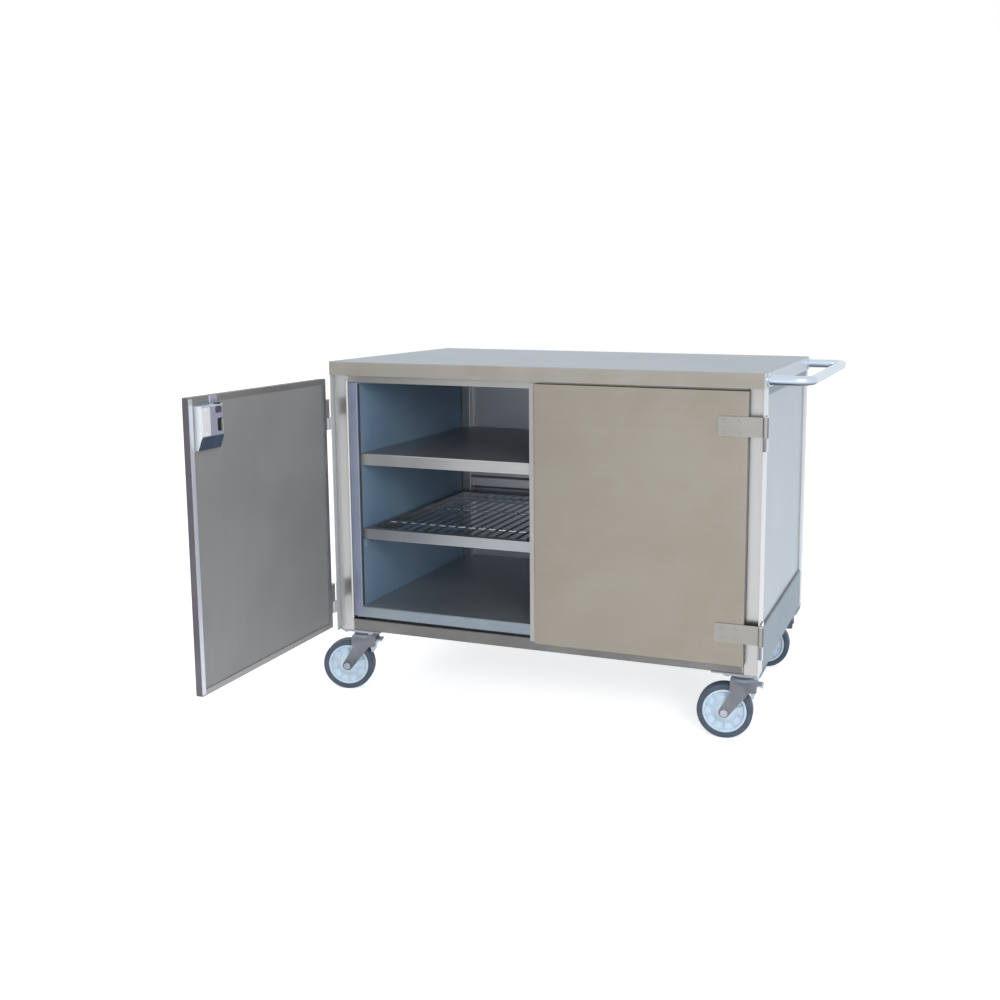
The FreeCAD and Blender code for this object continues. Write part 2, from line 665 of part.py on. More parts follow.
def door_pan():
    """A door's outer sheet: a face, four folded edges and a lip turned in round the back."""
    pan = box(DOOR_SIDE_INSET, DOOR_FREE_EDGE, 0, DOOR_THICKNESS, DOOR_BOTTOM, DOOR_TOP)
    rims = [e for e in pan.Edges if e.CenterOfMass.y < DOOR_THICKNESS - 1]
    pan = pan.makeFillet(DOOR_EDGE_RADIUS, rims)
    x0, x1 = DOOR_SIDE_INSET + SHEET, DOOR_FREE_EDGE - SHEET
    z0, z1 = DOOR_BOTTOM + SHEET, DOOR_TOP - SHEET
    pan = pan.cut(box(x0, x1, SHEET, LINER_BACK, z0, z1))
    lip = DOOR_LIP - SHEET
    return pan.cut(box(x0 + lip, x1 - lip, LINER_BACK - 1, DOOR_THICKNESS + 1, z0 + lip, z1 - lip))


def door_liner():
    """A door's inner sheet, a shallow tray that lies against the inside of the pan's lip."""
    margin = SHEET + DOOR_LINER_CLEARANCE
    x0, x1 = DOOR_SIDE_INSET + margin, DOOR_FREE_EDGE - margin
    z0, z1 = DOOR_BOTTOM + margin, DOOR_TOP - margin
    front = LINER_BACK - DOOR_LINER_FLANGE
    tray = box(x0, x1, front, LINER_BACK, z0, z1)
    return tray.cut(
        box(x0 + SHEET, x1 - SHEET, front - 1, LINER_BACK - SHEET, z0 + SHEET, z1 - SHEET)
    )


def astragal():
    """The right door's cover strip: it steps back by a hair and reaches behind the left door."""
    edge = WORKTOP_WIDTH - DOOR_FREE_EDGE
    outline = [
        (edge + ASTRAGAL_BASE, DOOR_THICKNESS),
        (edge + ASTRAGAL_BASE, DOOR_THICKNESS + ASTRAGAL_THICKNESS),
        (edge, DOOR_THICKNESS + ASTRAGAL_THICKNESS + ASTRAGAL_CLEARANCE),
        (edge - ASTRAGAL_OVERHANG, DOOR_THICKNESS + ASTRAGAL_THICKNESS + ASTRAGAL_CLEARANCE),
        (edge - ASTRAGAL_OVERHANG, DOOR_THICKNESS + ASTRAGAL_CLEARANCE),
        (edge - DOORS_MEETING_GAP / 2, DOOR_THICKNESS + ASTRAGAL_CLEARANCE),
        (edge, DOOR_THICKNESS),
    ]
    return prism(rounded_face(outline), DOOR_BOTTOM, DOOR_TOP, "Z")


# ---- Hinges ----
def hinge_strap(foot):
    """The door's half of a hinge: a strap on the door's face that ends in the upper knuckle."""
    z0 = foot + HINGE_HEIGHT - HINGE_STRAP_HEIGHT
    z1 = foot + HINGE_HEIGHT
    end = HINGE_X + HINGE_STRAP_LENGTH
    corners = [0, HINGE_CORNER_RADIUS, HINGE_CORNER_RADIUS, 0]
    face = rounded_face([(z0, HINGE_X), (z0, end), (z1, end), (z1, HINGE_X)], corners)
    strap = prism(face, -HINGE_PLATE, 0, "Y")
    strap = joined(strap, rod(HINGE_X, HINGE_Y, z0, HINGE_OFFSET, z1 - z0, "Z"))
    bore = HINGE_PIN_DIAMETER / 2 + HINGE_RUNNING_CLEARANCE
    return strap.cut(rod(HINGE_X, HINGE_Y, z0 - 1, bore, z1 - z0 + 2, "Z"))


def hinge_leaf(foot):
    """The frame's half: a stepped leaf on the post's side that ends in the lower knuckle."""
    z1 = foot + HINGE_HEIGHT - HINGE_STRAP_HEIGHT - HINGE_AXIAL_GAP
    top = foot + HINGE_HEIGHT
    step = HINGE_Y + HINGE_LEAF_STEP
    end = HINGE_Y + HINGE_LEAF_LENGTH
    outline = [(HINGE_Y, foot), (end, foot), (end, top), (step, top), (step, z1), (HINGE_Y, z1)]
    face = rounded_face(outline, [0, HINGE_CORNER_RADIUS, HINGE_CORNER_RADIUS, HINGE_CORNER_RADIUS, 2, 0])
    leaf = prism(face, FRAME_LEFT - HINGE_PLATE, FRAME_LEFT, "X")
    leaf = joined(leaf, rod(HINGE_X, HINGE_Y, foot, HINGE_OFFSET, z1 - foot, "Z"))
    return leaf.cut(rod(HINGE_X, HINGE_Y, foot - 1, HINGE_PIN_DIAMETER / 2, z1 - foot + 2, "Z"))


def hinge_pin(foot):
    pin = rod(HINGE_X, HINGE_Y, foot, HINGE_PIN_DIAMETER / 2, HINGE_HEIGHT + HINGE_AXIAL_GAP, "Z")
    head = rod(HINGE_X, HINGE_Y, foot + HINGE_HEIGHT + HINGE_AXIAL_GAP, HINGE_OFFSET, HINGE_PIN_HEAD, "Z")
    return joined(pin, head)


# ---- Latch ----
def latch_cup():
    """The recess in the door's face that the turn bar sits in, with its rim and its shaft hole."""
    half_width, half_height = CUP_WIDTH / 2, CUP_HEIGHT / 2

    def block(shrink, y0, y1):
        face = rounded_rectangle(
            LATCH_Z - half_height + shrink,
            LATCH_Z + half_height - shrink,
            LATCH_X - half_width + shrink,
            LATCH_X + half_width - shrink,
            CUP_RADIUS - shrink / 2,
        )
        return prism(face, y0, y1, "Y")

    cup = joined(block(-CUP_RIM, -CUP_RIM_THICKNESS, 0), block(0, -CUP_RIM_THICKNESS / 2, CUP_DEPTH))
    cup = cup.cut(block(CUP_WALL, -CUP_RIM_THICKNESS - 1, CUP_DEPTH - CUP_WALL))
    bore = TURN_SHAFT_DIAMETER / 2 + TURN_RUNNING_CLEARANCE
    return cup.cut(rod(LATCH_X, CUP_DEPTH - CUP_WALL - 1, LATCH_Z, bore, CUP_WALL + 2, "Y"))


def latch_case():
    """The housing on the door's inside: it guides the bolt and has an ear up to the door's top edge."""
    low, high = LATCH_Z - LATCH_CASE_HEIGHT / 2, LATCH_Z + LATCH_CASE_HEIGHT / 2
    left, right = LATCH_X - LATCH_CASE_WIDTH / 2, LATCH_X + LATCH_CASE_WIDTH / 2
    inner_face = CASE_FACE - LATCH_WALL

    def block(shrink):
        back = CASE_FACE - shrink
        side = [
            (LINER_BACK, low + shrink),
            (LINER_BACK + LATCH_CASE_FOOT - 0.7 * shrink, low + shrink),
            (back, low + LATCH_CASE_BEVEL + 0.2 * shrink),
            (back, high - shrink),
            (LINER_BACK, high - shrink),
        ]
        plan = [
            (left + shrink, LINER_BACK),
            (right - shrink, LINER_BACK),
            (right - shrink, back),
            (left + shrink, back),
        ]
        round_off = LATCH_CASE_RADIUS - shrink
        standing = prism(rounded_face(side, [0, 0, round_off, round_off, 0]), left, right, "X")
        return standing.common(prism(rounded_face(plan, [0, 0, round_off, round_off]), low, high, "Z"))

    case = block(0).cut(block(LATCH_WALL))
    ear_top = DOOR_TOP - LATCH_EAR_BELOW_DOOR_TOP
    ear_left, ear_right = BOLT_X - LATCH_EAR_WIDTH / 2, BOLT_X + LATCH_EAR_WIDTH / 2
    ear = [(high - LATCH_WALL, ear_left), (ear_top, ear_left), (ear_top, ear_right), (high - LATCH_WALL, ear_right)]
    round_off = [0, LATCH_CASE_RADIUS, LATCH_CASE_RADIUS, 0]
    case = joined(
        case, prism(rounded_face(ear, round_off), DOOR_THICKNESS, DOOR_THICKNESS + LATCH_EAR_THICKNESS, "Y")
    )
    half = BOLT_WIDTH / 2 + BOLT_GUIDE_CLEARANCE
    guide_foot = LATCH_Z + BOLT_GUIDE_ABOVE_SHAFT
    for x in (BOLT_X - half - BOLT_GUIDE_WIDTH, BOLT_X + half):
        case = joined(case, box(x, x + BOLT_GUIDE_WIDTH, BOLT_FRONT, inner_face + 1, guide_foot, high - 1))
    gap = BOLT_GUIDE_CLEARANCE
    case = case.cut(
        box(BOLT_X - half, BOLT_X + half, BOLT_FRONT - gap, BOLT_BACK + gap, high - LATCH_WALL - 1, high + 1)
    )
    window_left = left + LATCH_WINDOW_INSET
    window_foot = LATCH_Z - LATCH_WINDOW_BELOW_SHAFT
    window = rounded_rectangle(
        window_foot,
        window_foot + LATCH_WINDOW_HEIGHT,
        window_left,
        window_left + LATCH_WINDOW_WIDTH,
        LATCH_CASE_RADIUS,
    )
    return case.cut(prism(window, inner_face - 0.1, CASE_FACE + 1, "Y"))


def latch_handle():
    """The turn bar and its shaft."""
    half_length, half_height = TURN_BAR_LENGTH / 2, TURN_BAR_HEIGHT / 2
    back = TURN_BAR_SETBACK + TURN_BAR_DEPTH
    grip = tapered_link(
        (LATCH_Z, LATCH_X - half_length + half_height),
        half_height,
        (LATCH_Z, LATCH_X + half_length - half_height),
        half_height,
    )
    bar = prism(grip, TURN_BAR_SETBACK, back, "Y")
    return joined(bar, rod(LATCH_X, back, LATCH_Z, TURN_SHAFT_DIAMETER / 2, CRANK_BACK - back, "Y"))


def latch_crank():
    """The disc on the shaft's inner end, whose pin lifts the bolt."""
    disc = rod(LATCH_X, CRANK_FRONT, LATCH_Z, CRANK_RADIUS, CRANK_THICKNESS, "Y")
    disc = disc.cut(rod(LATCH_X, CRANK_FRONT - 1, LATCH_Z, TURN_SHAFT_DIAMETER / 2, CRANK_THICKNESS + 2, "Y"))
    pin_x, pin_z = LATCH_X - CRANK_REACH, LATCH_Z - BOLT_STROKE / 2
    pin = rod(pin_x, CRANK_FRONT, pin_z, CRANK_PIN_DIAMETER / 2, BOLT_BACK - CRANK_FRONT, "Y")
    return joined(disc, pin)


def latch_bolt():
    """The bolt, drawn back, with a foot whose level slot holds the crank pin."""
    level = LATCH_Z - BOLT_STROKE / 2
    foot, heel = level - BOLT_FOOT_HEIGHT / 2, level + BOLT_FOOT_HEIGHT / 2
    right = BOLT_LEFT + BOLT_WIDTH
    outline = [
        (foot, BOLT_LEFT),
        (BOLT_TOP, BOLT_LEFT),
        (BOLT_TOP, right),
        (heel, right),
        (heel, BOLT_LEFT + BOLT_FOOT_WIDTH),
        (foot, BOLT_LEFT + BOLT_FOOT_WIDTH),
    ]
    bolt = prism(rounded_face(outline, [0, 3, 3, 2, 2, 2]), BOLT_FRONT, BOLT_BACK, "Y")
    radius = CRANK_PIN_DIAMETER / 2 + CRANK_PIN_CLEARANCE
    slot = tapered_link((level, LATCH_X - CRANK_THROW), radius, (level, LATCH_X - CRANK_REACH), radius)
    return bolt.cut(prism(slot, BOLT_FRONT - 1, BOLT_BACK + 1, "Y"))


# ---- Push handle ----
HANDLE_Z = WORKTOP_HEIGHT - WORKTOP_FLANGE / 2
HANDLE_FRONT = FRAME_FRONT + POST_SIZE / 2
HANDLE_REAR = FRAME_REAR - POST_SIZE / 2


def push_handle():
    """A tube bent into a loop that leaves the worktop's right edge and comes back to it."""
    start = Vector(WORKTOP_WIDTH, HANDLE_FRONT, HANDLE_Z)
    out = WORKTOP_WIDTH + HANDLE_REACH
    corner = HANDLE_BEND * (1 - math.cos(math.radians(45)))
    bends = []
    for y, inward in ((HANDLE_FRONT, 1), (HANDLE_REAR, -1)):
        bends.append(
            (
                Vector(out - HANDLE_BEND, y, HANDLE_Z),
                Vector(out - corner, y + inward * corner, HANDLE_Z),
                Vector(out, y + inward * HANDLE_BEND, HANDLE_Z),
            )
        )
    near, far = bends
    end = Vector(WORKTOP_WIDTH, HANDLE_REAR, HANDLE_Z)
    path = Part.Wire(
        [
            Part.LineSegment(start, near[0]).toShape(),
            Part.Arc(*near).toShape(),
            Part.LineSegment(near[2], far[2]).toShape(),
            Part.Arc(far[2], far[1], far[0]).toShape(),
            Part.LineSegment(far[0], end).toShape(),
        ]
    )

    def swept(radius):
        ring = Part.Wire([Part.makeCircle(radius, start, Vector(1, 0, 0))])
        return path.makePipeShell([ring], True, False)

    return swept(HANDLE_DIAMETER / 2).cut(swept(HANDLE_DIAMETER / 2 - HANDLE_WALL))


def handle_rosette(y):
    """The collar that closes the joint between the handle and the worktop's edge."""
    profile = [
        (0, HANDLE_DIAMETER / 2 + ROSETTE_CLEARANCE),
        (0, ROSETTE_DIAMETER / 2),
        (ROSETTE_THICKNESS / 2, ROSETTE_DIAMETER / 2),
        (ROSETTE_THICKNESS, HANDLE_DIAMETER / 2 + HANDLE_WALL),
        (ROSETTE_THICKNESS, HANDLE_DIAMETER / 2 + ROSETTE_CLEARANCE),
    ]
    face = rounded_face(profile)
    ring = face.revolve(Vector(), Vector(1, 0, 0), 360)
    ring.translate(Vector(WORKTOP_WIDTH, y, HANDLE_Z))
    return ring


# ---- Casters ----
def caster_bolt_centres(caster):
    x, y = CASTER_PLACES[caster]
    for across in (-0.5, 0.5):
        for back in (-0.5, 0.5):
            yield x + across * CASTER_BOLT_SPACING_X, y + back * CASTER_BOLT_SPACING_Y


def caster_bolt_holes(caster, z0, z1):
    radius = CASTER_BOLT_DIAMETER / 2 + BOLT_HOLE_CLEARANCE
    return [rod(x, y, z0, radius, z1 - z0, "Z") for x, y in caster_bolt_centres(caster)]


def caster_bolts(caster):
    bolts = []
    for x, y in caster_bolt_centres(caster):
        head_foot = PLATE_BOTTOM - CASTER_BOLT_HEAD_HEIGHT
        head = hexagon(x, y, head_foot, CASTER_BOLT_HEAD_ACROSS, CASTER_BOLT_HEAD_HEIGHT, "Z")
        shank = rod(x, y, head_foot, CASTER_BOLT_DIAMETER / 2, CHASSIS_BOTTOM - head_foot, "Z")
        bolts.append(joined(head, shank))
    return bolts


def caster_plate(caster):
    """The fixed top plate with the kingpin and its nut, which carry the fork."""
    x, y = CASTER_PLACES[caster]
    half_x, half_y = CASTER_PLATE_LENGTH / 2, CASTER_PLATE_WIDTH / 2
    face = rounded_rectangle(x - half_x, x + half_x, y - half_y, y + half_y, CASTER_PLATE_RADIUS)
    plate = prism(face, PLATE_BOTTOM, PLATE_TOP, "Z")
    plate = plate.cut(caster_bolt_holes(caster, PLATE_BOTTOM - 1, PLATE_TOP + 1))
    nut_top = CROWN_BOTTOM - SWIVEL_AXIAL_GAP
    nut_foot = nut_top - KINGPIN_NUT_HEIGHT
    kingpin = rod(x, y, nut_foot, KINGPIN_DIAMETER / 2, PLATE_BOTTOM + 1 - nut_foot, "Z")
    return joined(plate, kingpin, hexagon(x, y, nut_foot, KINGPIN_NUT_ACROSS, KINGPIN_NUT_HEIGHT, "Z"))


def caster_fork(braked):
    """The swivelling fork about its own axis: ball race, crown and two legs that trail to the axle."""
    race = rounded_face(
        [(0, CROWN_BOTTOM), (CROWN_RADIUS, CROWN_BOTTOM), (CROWN_RADIUS, CROWN_TOP),
         (RACE_RADIUS, CROWN_TOP + CROWN_THICKNESS), (RACE_RADIUS, RACE_TOP), (0, RACE_TOP)],
        [0, 0, 1, 1, 3, 0],
    )
    upright = race.copy()
    upright.rotate(Vector(), Vector(1, 0, 0), 90)
    fork = upright.revolve(Vector(), Vector(0, 0, 1), 360)
    half_inside, half_outside = FORK_INSIDE, FORK_INSIDE + FORK_PLATE
    crown = rounded_rectangle(-CROWN_RADIUS, CROWN_RADIUS, -half_outside, half_outside, FORK_SKIRT_RADIUS)
    fork = joined(fork, prism(crown, CROWN_BOTTOM, CROWN_TOP, "Z"))
    shoulder = (CROWN_TOP - FORK_SHOULDER_RADIUS, 0)
    leg = tapered_link((WHEEL_RADIUS, -CASTER_TRAIL), FORK_BOSS_RADIUS, shoulder, FORK_SHOULDER_RADIUS)
    skirt = rounded_rectangle(
        CROWN_TOP - FORK_SKIRT, CROWN_TOP, -CROWN_RADIUS, CROWN_RADIUS, FORK_SKIRT_RADIUS
    )
    for side in (-1, 1):
        y0, y1 = sorted((side * half_inside, side * half_outside))
        fork = joined(fork, prism(leg, y0, y1, "Y"), prism(skirt, y0, y1, "Y"))
    if braked:
        pin = rod(BRAKE_PIVOT_FORWARD, -half_outside, BRAKE_PIVOT_Z, BRAKE_PIN_DIAMETER / 2, 2 * half_outside, "Y")
        fork = joined(fork, pin)
    bore = KINGPIN_DIAMETER / 2 + SWIVEL_CLEARANCE
    fork = fork.cut(rod(0, 0, CROWN_BOTTOM - 1, bore, RACE_TOP - CROWN_BOTTOM + 2, "Z"))
    axle_hole = AXLE_DIAMETER / 2 + AXLE_CLEARANCE
    return fork.cut(rod(-CASTER_TRAIL, -half_outside - 1, WHEEL_RADIUS, axle_hole, 2 * half_outside + 2, "Y"))


def spun(outline, radii):
    """A wheel piece turned about the axle, from an outline of width against radius."""
    face = rounded_face(outline, radii)
    ring = face.revolve(Vector(), Vector(1, 0, 0), 360)
    ring.rotate(Vector(), Vector(0, 0, 1), 90)
    ring.translate(Vector(-CASTER_TRAIL, 0, WHEEL_RADIUS))
    return ring


def caster_wheel():
    """The wheel's body: a hub, a dished web and a flanged rim."""
    hub, web, rim = FORK_INSIDE - HUB_GAP, WEB_THICKNESS / 2, RIM_WIDTH / 2
    bore = AXLE_DIAMETER / 2 + AXLE_CLEARANCE
    seat = WHEEL_RADIUS - TREAD_THICKNESS
    inner = seat - RIM_THICKNESS
    half = [
        (hub, bore),
        (hub, HUB_DIAMETER / 2),
        (web, (HUB_DIAMETER / 2 + inner) / 2),
        (web, inner - 2),
        (rim, inner),
        (rim, seat),
    ]
    radii = [0, 3, 6, 3, 1, 0]
    outline = half + [(-w, r) for w, r in half[::-1]]
    return spun(outline, radii + radii[::-1])


def caster_tread():
    half = WHEEL_WIDTH / 2
    seat = WHEEL_RADIUS - TREAD_THICKNESS
    lip = RIM_WIDTH / 2
    outline = [(lip, seat), (half, seat + 3), (half, WHEEL_RADIUS)]
    outline += [(-w, r) for w, r in outline[::-1]]
    return spun(outline, [0, 1, TREAD_SHOULDER, TREAD_SHOULDER, 1, 0])


def caster_axle():
    """The axle bolt, its head and its nut, clamped through the fork's legs."""
    outside = FORK_INSIDE + FORK_PLATE
    tip = outside + AXLE_HEAD_HEIGHT
    shank = rod(-CASTER_TRAIL, -tip, WHEEL_RADIUS, AXLE_DIAMETER / 2, 2 * tip + 2, "Y")
    head = hexagon(-CASTER_TRAIL, -tip, WHEEL_RADIUS, AXLE_HEAD_ACROSS, AXLE_HEAD_HEIGHT, "Y")
    nut = hexagon(-CASTER_TRAIL, outside, WHEEL_RADIUS, AXLE_HEAD_ACROSS, AXLE_HEAD_HEIGHT, "Y")
    return joined(shank, head, nut)


def brake_arm_length():
    """How long the shoe's arm is, so that the pressed shoe stops just short of the tread."""
    away = math.hypot(BRAKE_PIVOT_FORWARD + CASTER_TRAIL, BRAKE_PIVOT_Z - WHEEL_RADIUS)
    pressed = math.radians(BRAKE_PRESSED_DEGREES)
    target = WHEEL_RADIUS + BRAKE_SHOE_CLEARANCE + BRAKE_SHOE_RADIUS
    return away * math.cos(pressed) - math.sqrt(target**2 - (away * math.sin(pressed)) ** 2)


def brake_pedal():
    """A foot lever on a pin in the fork, with a pad in front and a cam arm behind that grips the tread."""
    x, z = BRAKE_PIVOT_FORWARD, BRAKE_PIVOT_Z
    to_wheel = math.atan2(WHEEL_RADIUS - z, -CASTER_TRAIL - x)
    rest = to_wheel + math.radians(BRAKE_PRESSED_DEGREES + BRAKE_TRAVEL_DEGREES)
    length = brake_arm_length()
    shoe = (z + length * math.sin(rest), x + length * math.cos(rest))
    half = BRAKE_LEVER_WIDTH / 2
    cam = prism(tapered_link((z, x), BRAKE_EYE_RADIUS, shoe, BRAKE_SHOE_RADIUS), -half, half, "Y")
    toe = x + BRAKE_PAD_REACH
    tip = toe + BRAKE_PAD_LENGTH
    top = z + BRAKE_EYE_RADIUS
    outline = [
        (top, x),
        (top - BRAKE_PAD_THICKNESS, x),
        (top - BRAKE_PAD_THICKNESS, tip - BRAKE_PAD_THICKNESS),
        (top - BRAKE_PAD_LIP, tip),
        (top, tip),
    ]
    pad = prism(rounded_face(outline, [0, 0, 2, 1, 3]), -half, half, "Y")
    lever = joined(cam, pad)
    bore = BRAKE_PIN_DIAMETER / 2 + AXLE_CLEARANCE
    return lever.cut(rod(x, -half - 1, z, bore, BRAKE_LEVER_WIDTH + 2, "Y"))


def at_caster(shape, caster):
    """Turns a caster's piece about its swivel and moves it to its corner."""
    x, y = CASTER_PLACES[caster]
    placed = shape.copy()
    placed.rotate(Vector(), Vector(0, 0, 1), SWIVEL_DEGREES[caster])
    placed.translate(Vector(x, y, 0))
    return placed


# ---- Assembly ----
def all_pieces():
    pieces = {
        "worktop": worktop(),
        "front_posts": both_sides(front_post()),
        "rear_posts": both_sides(post(FRAME_LEFT, REAR_POST_FRONT)),
        "header_rail": header_rail(),
        "rear_top_rail": cross_rail(FRAME_REAR - RAIL_DEPTH, TOP_RAIL_BOTTOM, DECK_UNDERSIDE),
        "side_top_rails": both_sides(side_rail(RAIL_DEPTH, TOP_RAIL_BOTTOM, DECK_UNDERSIDE)),
        "front_base_rail": cross_rail(FRAME_FRONT, CHASSIS_BOTTOM, BASE_RAIL_TOP),
        "rear_base_rail": cross_rail(FRAME_REAR - RAIL_DEPTH, CHASSIS_BOTTOM, BASE_RAIL_TOP),
        "side_base_rails": both_sides(
            side_rail(SIDE_BASE_WIDTH, CHASSIS_BOTTOM, CHASSIS_BOTTOM + SIDE_BASE_HEIGHT)
        ),
        "corner_gussets": [corner_gusset(caster) for caster in CASTER_PLACES],
        "left_side_panel": side_panel(),
        "right_side_panel": mirrored(side_panel()),
        "left_liner": side_liner(),
        "right_liner": mirrored(side_liner()),
        "back_panel": back_panel(),
        "back_rib": back_rib(),
        "floor_pan": floor_pan(),
        "rear_uprights": both_sides(rear_upright()),
        "upper_shelf": upper_shelf(),
        "shelf_ledges": both_sides(shelf_ledge(UPPER_SHELF_HEIGHT - SHEET)) + both_sides(shelf_ledge(GRID_FOOT)),
        "grid_front_rail": grid_front_rail(),
        "grid_rear_rail": grid_rear_rail(),
        "grid_side_rails": both_sides(grid_side_rail()),
        "grid_rods": grid_rods(),
        "push_handle": push_handle(),
        "handle_rosettes": [handle_rosette(HANDLE_FRONT), handle_rosette(HANDLE_REAR)],
        "right_door_pan": mirrored(door_pan()),
        "right_door_liner": mirrored(door_liner()),
        "right_door_straps": [mirrored(hinge_strap(foot)) for foot in HINGE_FEET],
        "astragal": astragal(),
        "left_door_pan": opened(door_pan().cut(latch_cutout(-1, SHEET + 1))),
        "left_door_liner": opened(door_liner().cut(shaft_hole())),
        "left_door_straps": [opened(hinge_strap(foot)) for foot in HINGE_FEET],
        "latch_cup": opened(latch_cup()),
        "latch_case": opened(latch_case()),
        "latch_handle": opened(latch_handle()),
        "latch_crank": opened(latch_crank()),
        "latch_bolt": opened(latch_bolt()),
    }
    leaves, pins = [], []
    for foot in HINGE_FEET:
        leaves += both_sides(hinge_leaf(foot))
        pins += both_sides(hinge_pin(foot))
    pieces["hinge_frame_leaves"] = leaves
    pieces["hinge_pins"] = pins
    pieces["caster_plates"] = [caster_plate(caster) for caster in CASTER_PLACES]
    pieces["caster_bolts"] = [bolt for caster in CASTER_PLACES for bolt in caster_bolts(caster)]
    wheel, tread, axle, pedal = caster_wheel(), caster_tread(), caster_axle(), brake_pedal()
    for caster in CASTER_PLACES:
        braked = caster in BRAKED
        pieces[f"{caster}_fork"] = at_caster(caster_fork(braked), caster)
        pieces[f"{caster}_wheel"] = at_caster(wheel, caster)
        pieces[f"{caster}_tread"] = at_caster(tread, caster)
        pieces[f"{caster}_axle"] = at_caster(axle, caster)
        if braked:
            pieces[f"{caster}_brake_pedal"] = at_caster(pedal, caster)
    return pieces


def save(name, shape):
    group = shape if isinstance(shape, list) else [shape]
    solids = [solid for item in group for solid in item.Solids]
    whole = solids[0] if len(solids) == 1 else Part.makeCompound(solids)
    whole = whole.copy()
    whole.translate(-ORIGIN)
    whole.exportStep(f"parts/{name}.step")
    sound = all(solid.isValid() and solid.Volume > 0 for solid in solids)
    print(f"{name:26s} solids {len(solids):3d}  volume {whole.Volume / 1000:9.1f} cm3  sound {sound}")


def main():
    os.makedirs("parts", exist_ok=True)
    for name, shape in all_pieces().items():
        save(name, shape)


main()
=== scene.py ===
# %% [markdown]
# # A stainless meal tray cart
# The CAD model already holds the cart's frame, doors, shelves and casters at their true places. This
# lesson dresses it: it gives every sheet, tube and tyre its finish, adds the screws, welds and
# mouldings that the solids leave out, and sets up a plain studio round it.

# %% Load the CAD model
import json
import math

import bmesh
import bpy
from mathutils import Matrix, Vector

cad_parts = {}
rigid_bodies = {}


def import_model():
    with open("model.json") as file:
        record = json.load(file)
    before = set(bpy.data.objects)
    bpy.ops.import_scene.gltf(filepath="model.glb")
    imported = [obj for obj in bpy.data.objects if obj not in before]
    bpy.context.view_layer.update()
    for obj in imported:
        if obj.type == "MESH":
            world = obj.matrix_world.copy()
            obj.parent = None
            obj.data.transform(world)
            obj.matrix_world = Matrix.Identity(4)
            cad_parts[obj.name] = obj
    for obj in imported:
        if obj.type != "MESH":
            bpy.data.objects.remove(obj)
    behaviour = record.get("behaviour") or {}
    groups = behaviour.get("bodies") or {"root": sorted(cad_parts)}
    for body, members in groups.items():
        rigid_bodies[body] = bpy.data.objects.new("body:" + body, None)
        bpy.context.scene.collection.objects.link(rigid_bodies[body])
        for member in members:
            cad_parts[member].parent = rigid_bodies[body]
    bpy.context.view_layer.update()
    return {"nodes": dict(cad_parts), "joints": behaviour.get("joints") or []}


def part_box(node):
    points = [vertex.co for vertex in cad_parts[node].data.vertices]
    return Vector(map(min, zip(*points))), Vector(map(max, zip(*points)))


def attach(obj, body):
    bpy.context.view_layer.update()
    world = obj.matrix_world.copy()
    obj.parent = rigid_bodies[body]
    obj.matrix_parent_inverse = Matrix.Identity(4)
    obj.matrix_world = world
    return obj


for leftover in list(bpy.data.objects):
    bpy.data.objects.remove(leftover)
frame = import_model()
nodes = frame["nodes"]

# %% [markdown]
# ## A ruler for the cabinet
# A maker measures a cabinet from its own corner, not from the middle of the room. The worktop's front
# left corner is that corner here, so `at` turns cabinet millimetres into the model's metres, with
# heights from the floor. The left door stands open, and `on_left_door` takes a place that is measured
# on the shut door and swings it about the hinge pin, as the real door carries its own latch along.

# %% Places on the cabinet and on the open door
worktop_low, worktop_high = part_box("worktop")
joints = {joint["name"]: joint for joint in frame["joints"]}
hinge_line = Vector(joints["left_door_hinge"]["pos_m"])
open_turn = Matrix.Rotation(math.radians(joints["left_door_hinge"]["range_deg"][0]), 3, "Z")


def at(x, y, z):
    return Vector((worktop_low.x + x / 1000, worktop_low.y + y / 1000, z / 1000))


def on_left_door(x, y, z):
    arm = at(x, y, z) - Vector((hinge_line.x, hinge_line.y, 0))
    return open_turn @ arm + Vector((hinge_line.x, hinge_line.y, 0))


cabinet_size = worktop_high - worktop_low
print("worktop", [round(v * 1000) for v in cabinet_size], "mm")
print("left door's range in degrees", joints["left_door_hinge"]["range_deg"])

# %% [markdown]
# ## Shared effects
# Brushed steel never looks like one flat colour. The belt leaves fine lines along the sheet, hands and
# cloths leave cloudy marks, thin sheet draws out of flat in long soft waves, and the folds get a painted
# highlight.
# Each of these is a node group with named inputs and outputs, so that every finish can use it with its
# own values.


# %% Helpers for node trees
def add_node(tree, kind, settings=None, **sockets):
    """Adds a node, sets its properties, then fills its inputs with values or with other nodes' outputs."""
    made = tree.nodes.new(kind)
    for key, value in (settings or {}).items():
        setattr(made, key, value)
    for key, value in sockets.items():
        socket = made.inputs[int(key[1:])] if key[1:].isdigit() else made.inputs[key.replace("_", " ")]
        if isinstance(value, bpy.types.NodeSocket):
            tree.links.new(value, socket)
        else:
            socket.default_value = value
    return made


def maths(tree, operation, first, second=0.0, clamp=False):
    settings = {"operation": operation, "use_clamp": clamp}
    return add_node(tree, "ShaderNodeMath", settings, i0=first, i1=second).outputs[0]


def mixed(tree, factor, first, second, blend="MIX"):
    settings = {"data_type": "RGBA", "blend_type": blend}
    return add_node(tree, "ShaderNodeMix", settings, i0=factor, i6=first, i7=second).outputs[2]


def effect_group(name, inputs, outputs):
    """Makes an empty node group with named sockets, and returns it with its input and output nodes."""
    tree = bpy.data.node_groups.new(name, "ShaderNodeTree")
    for label, kind, value in inputs:
        socket = tree.interface.new_socket(label, in_out="INPUT", socket_type="NodeSocket" + kind)
        if value is not None:
            socket.default_value = value
    for label, kind in outputs:
        tree.interface.new_socket(label, in_out="OUTPUT", socket_type="NodeSocket" + kind)
    return tree, tree.nodes.new("NodeGroupInput"), tree.nodes.new("NodeGroupOutput")


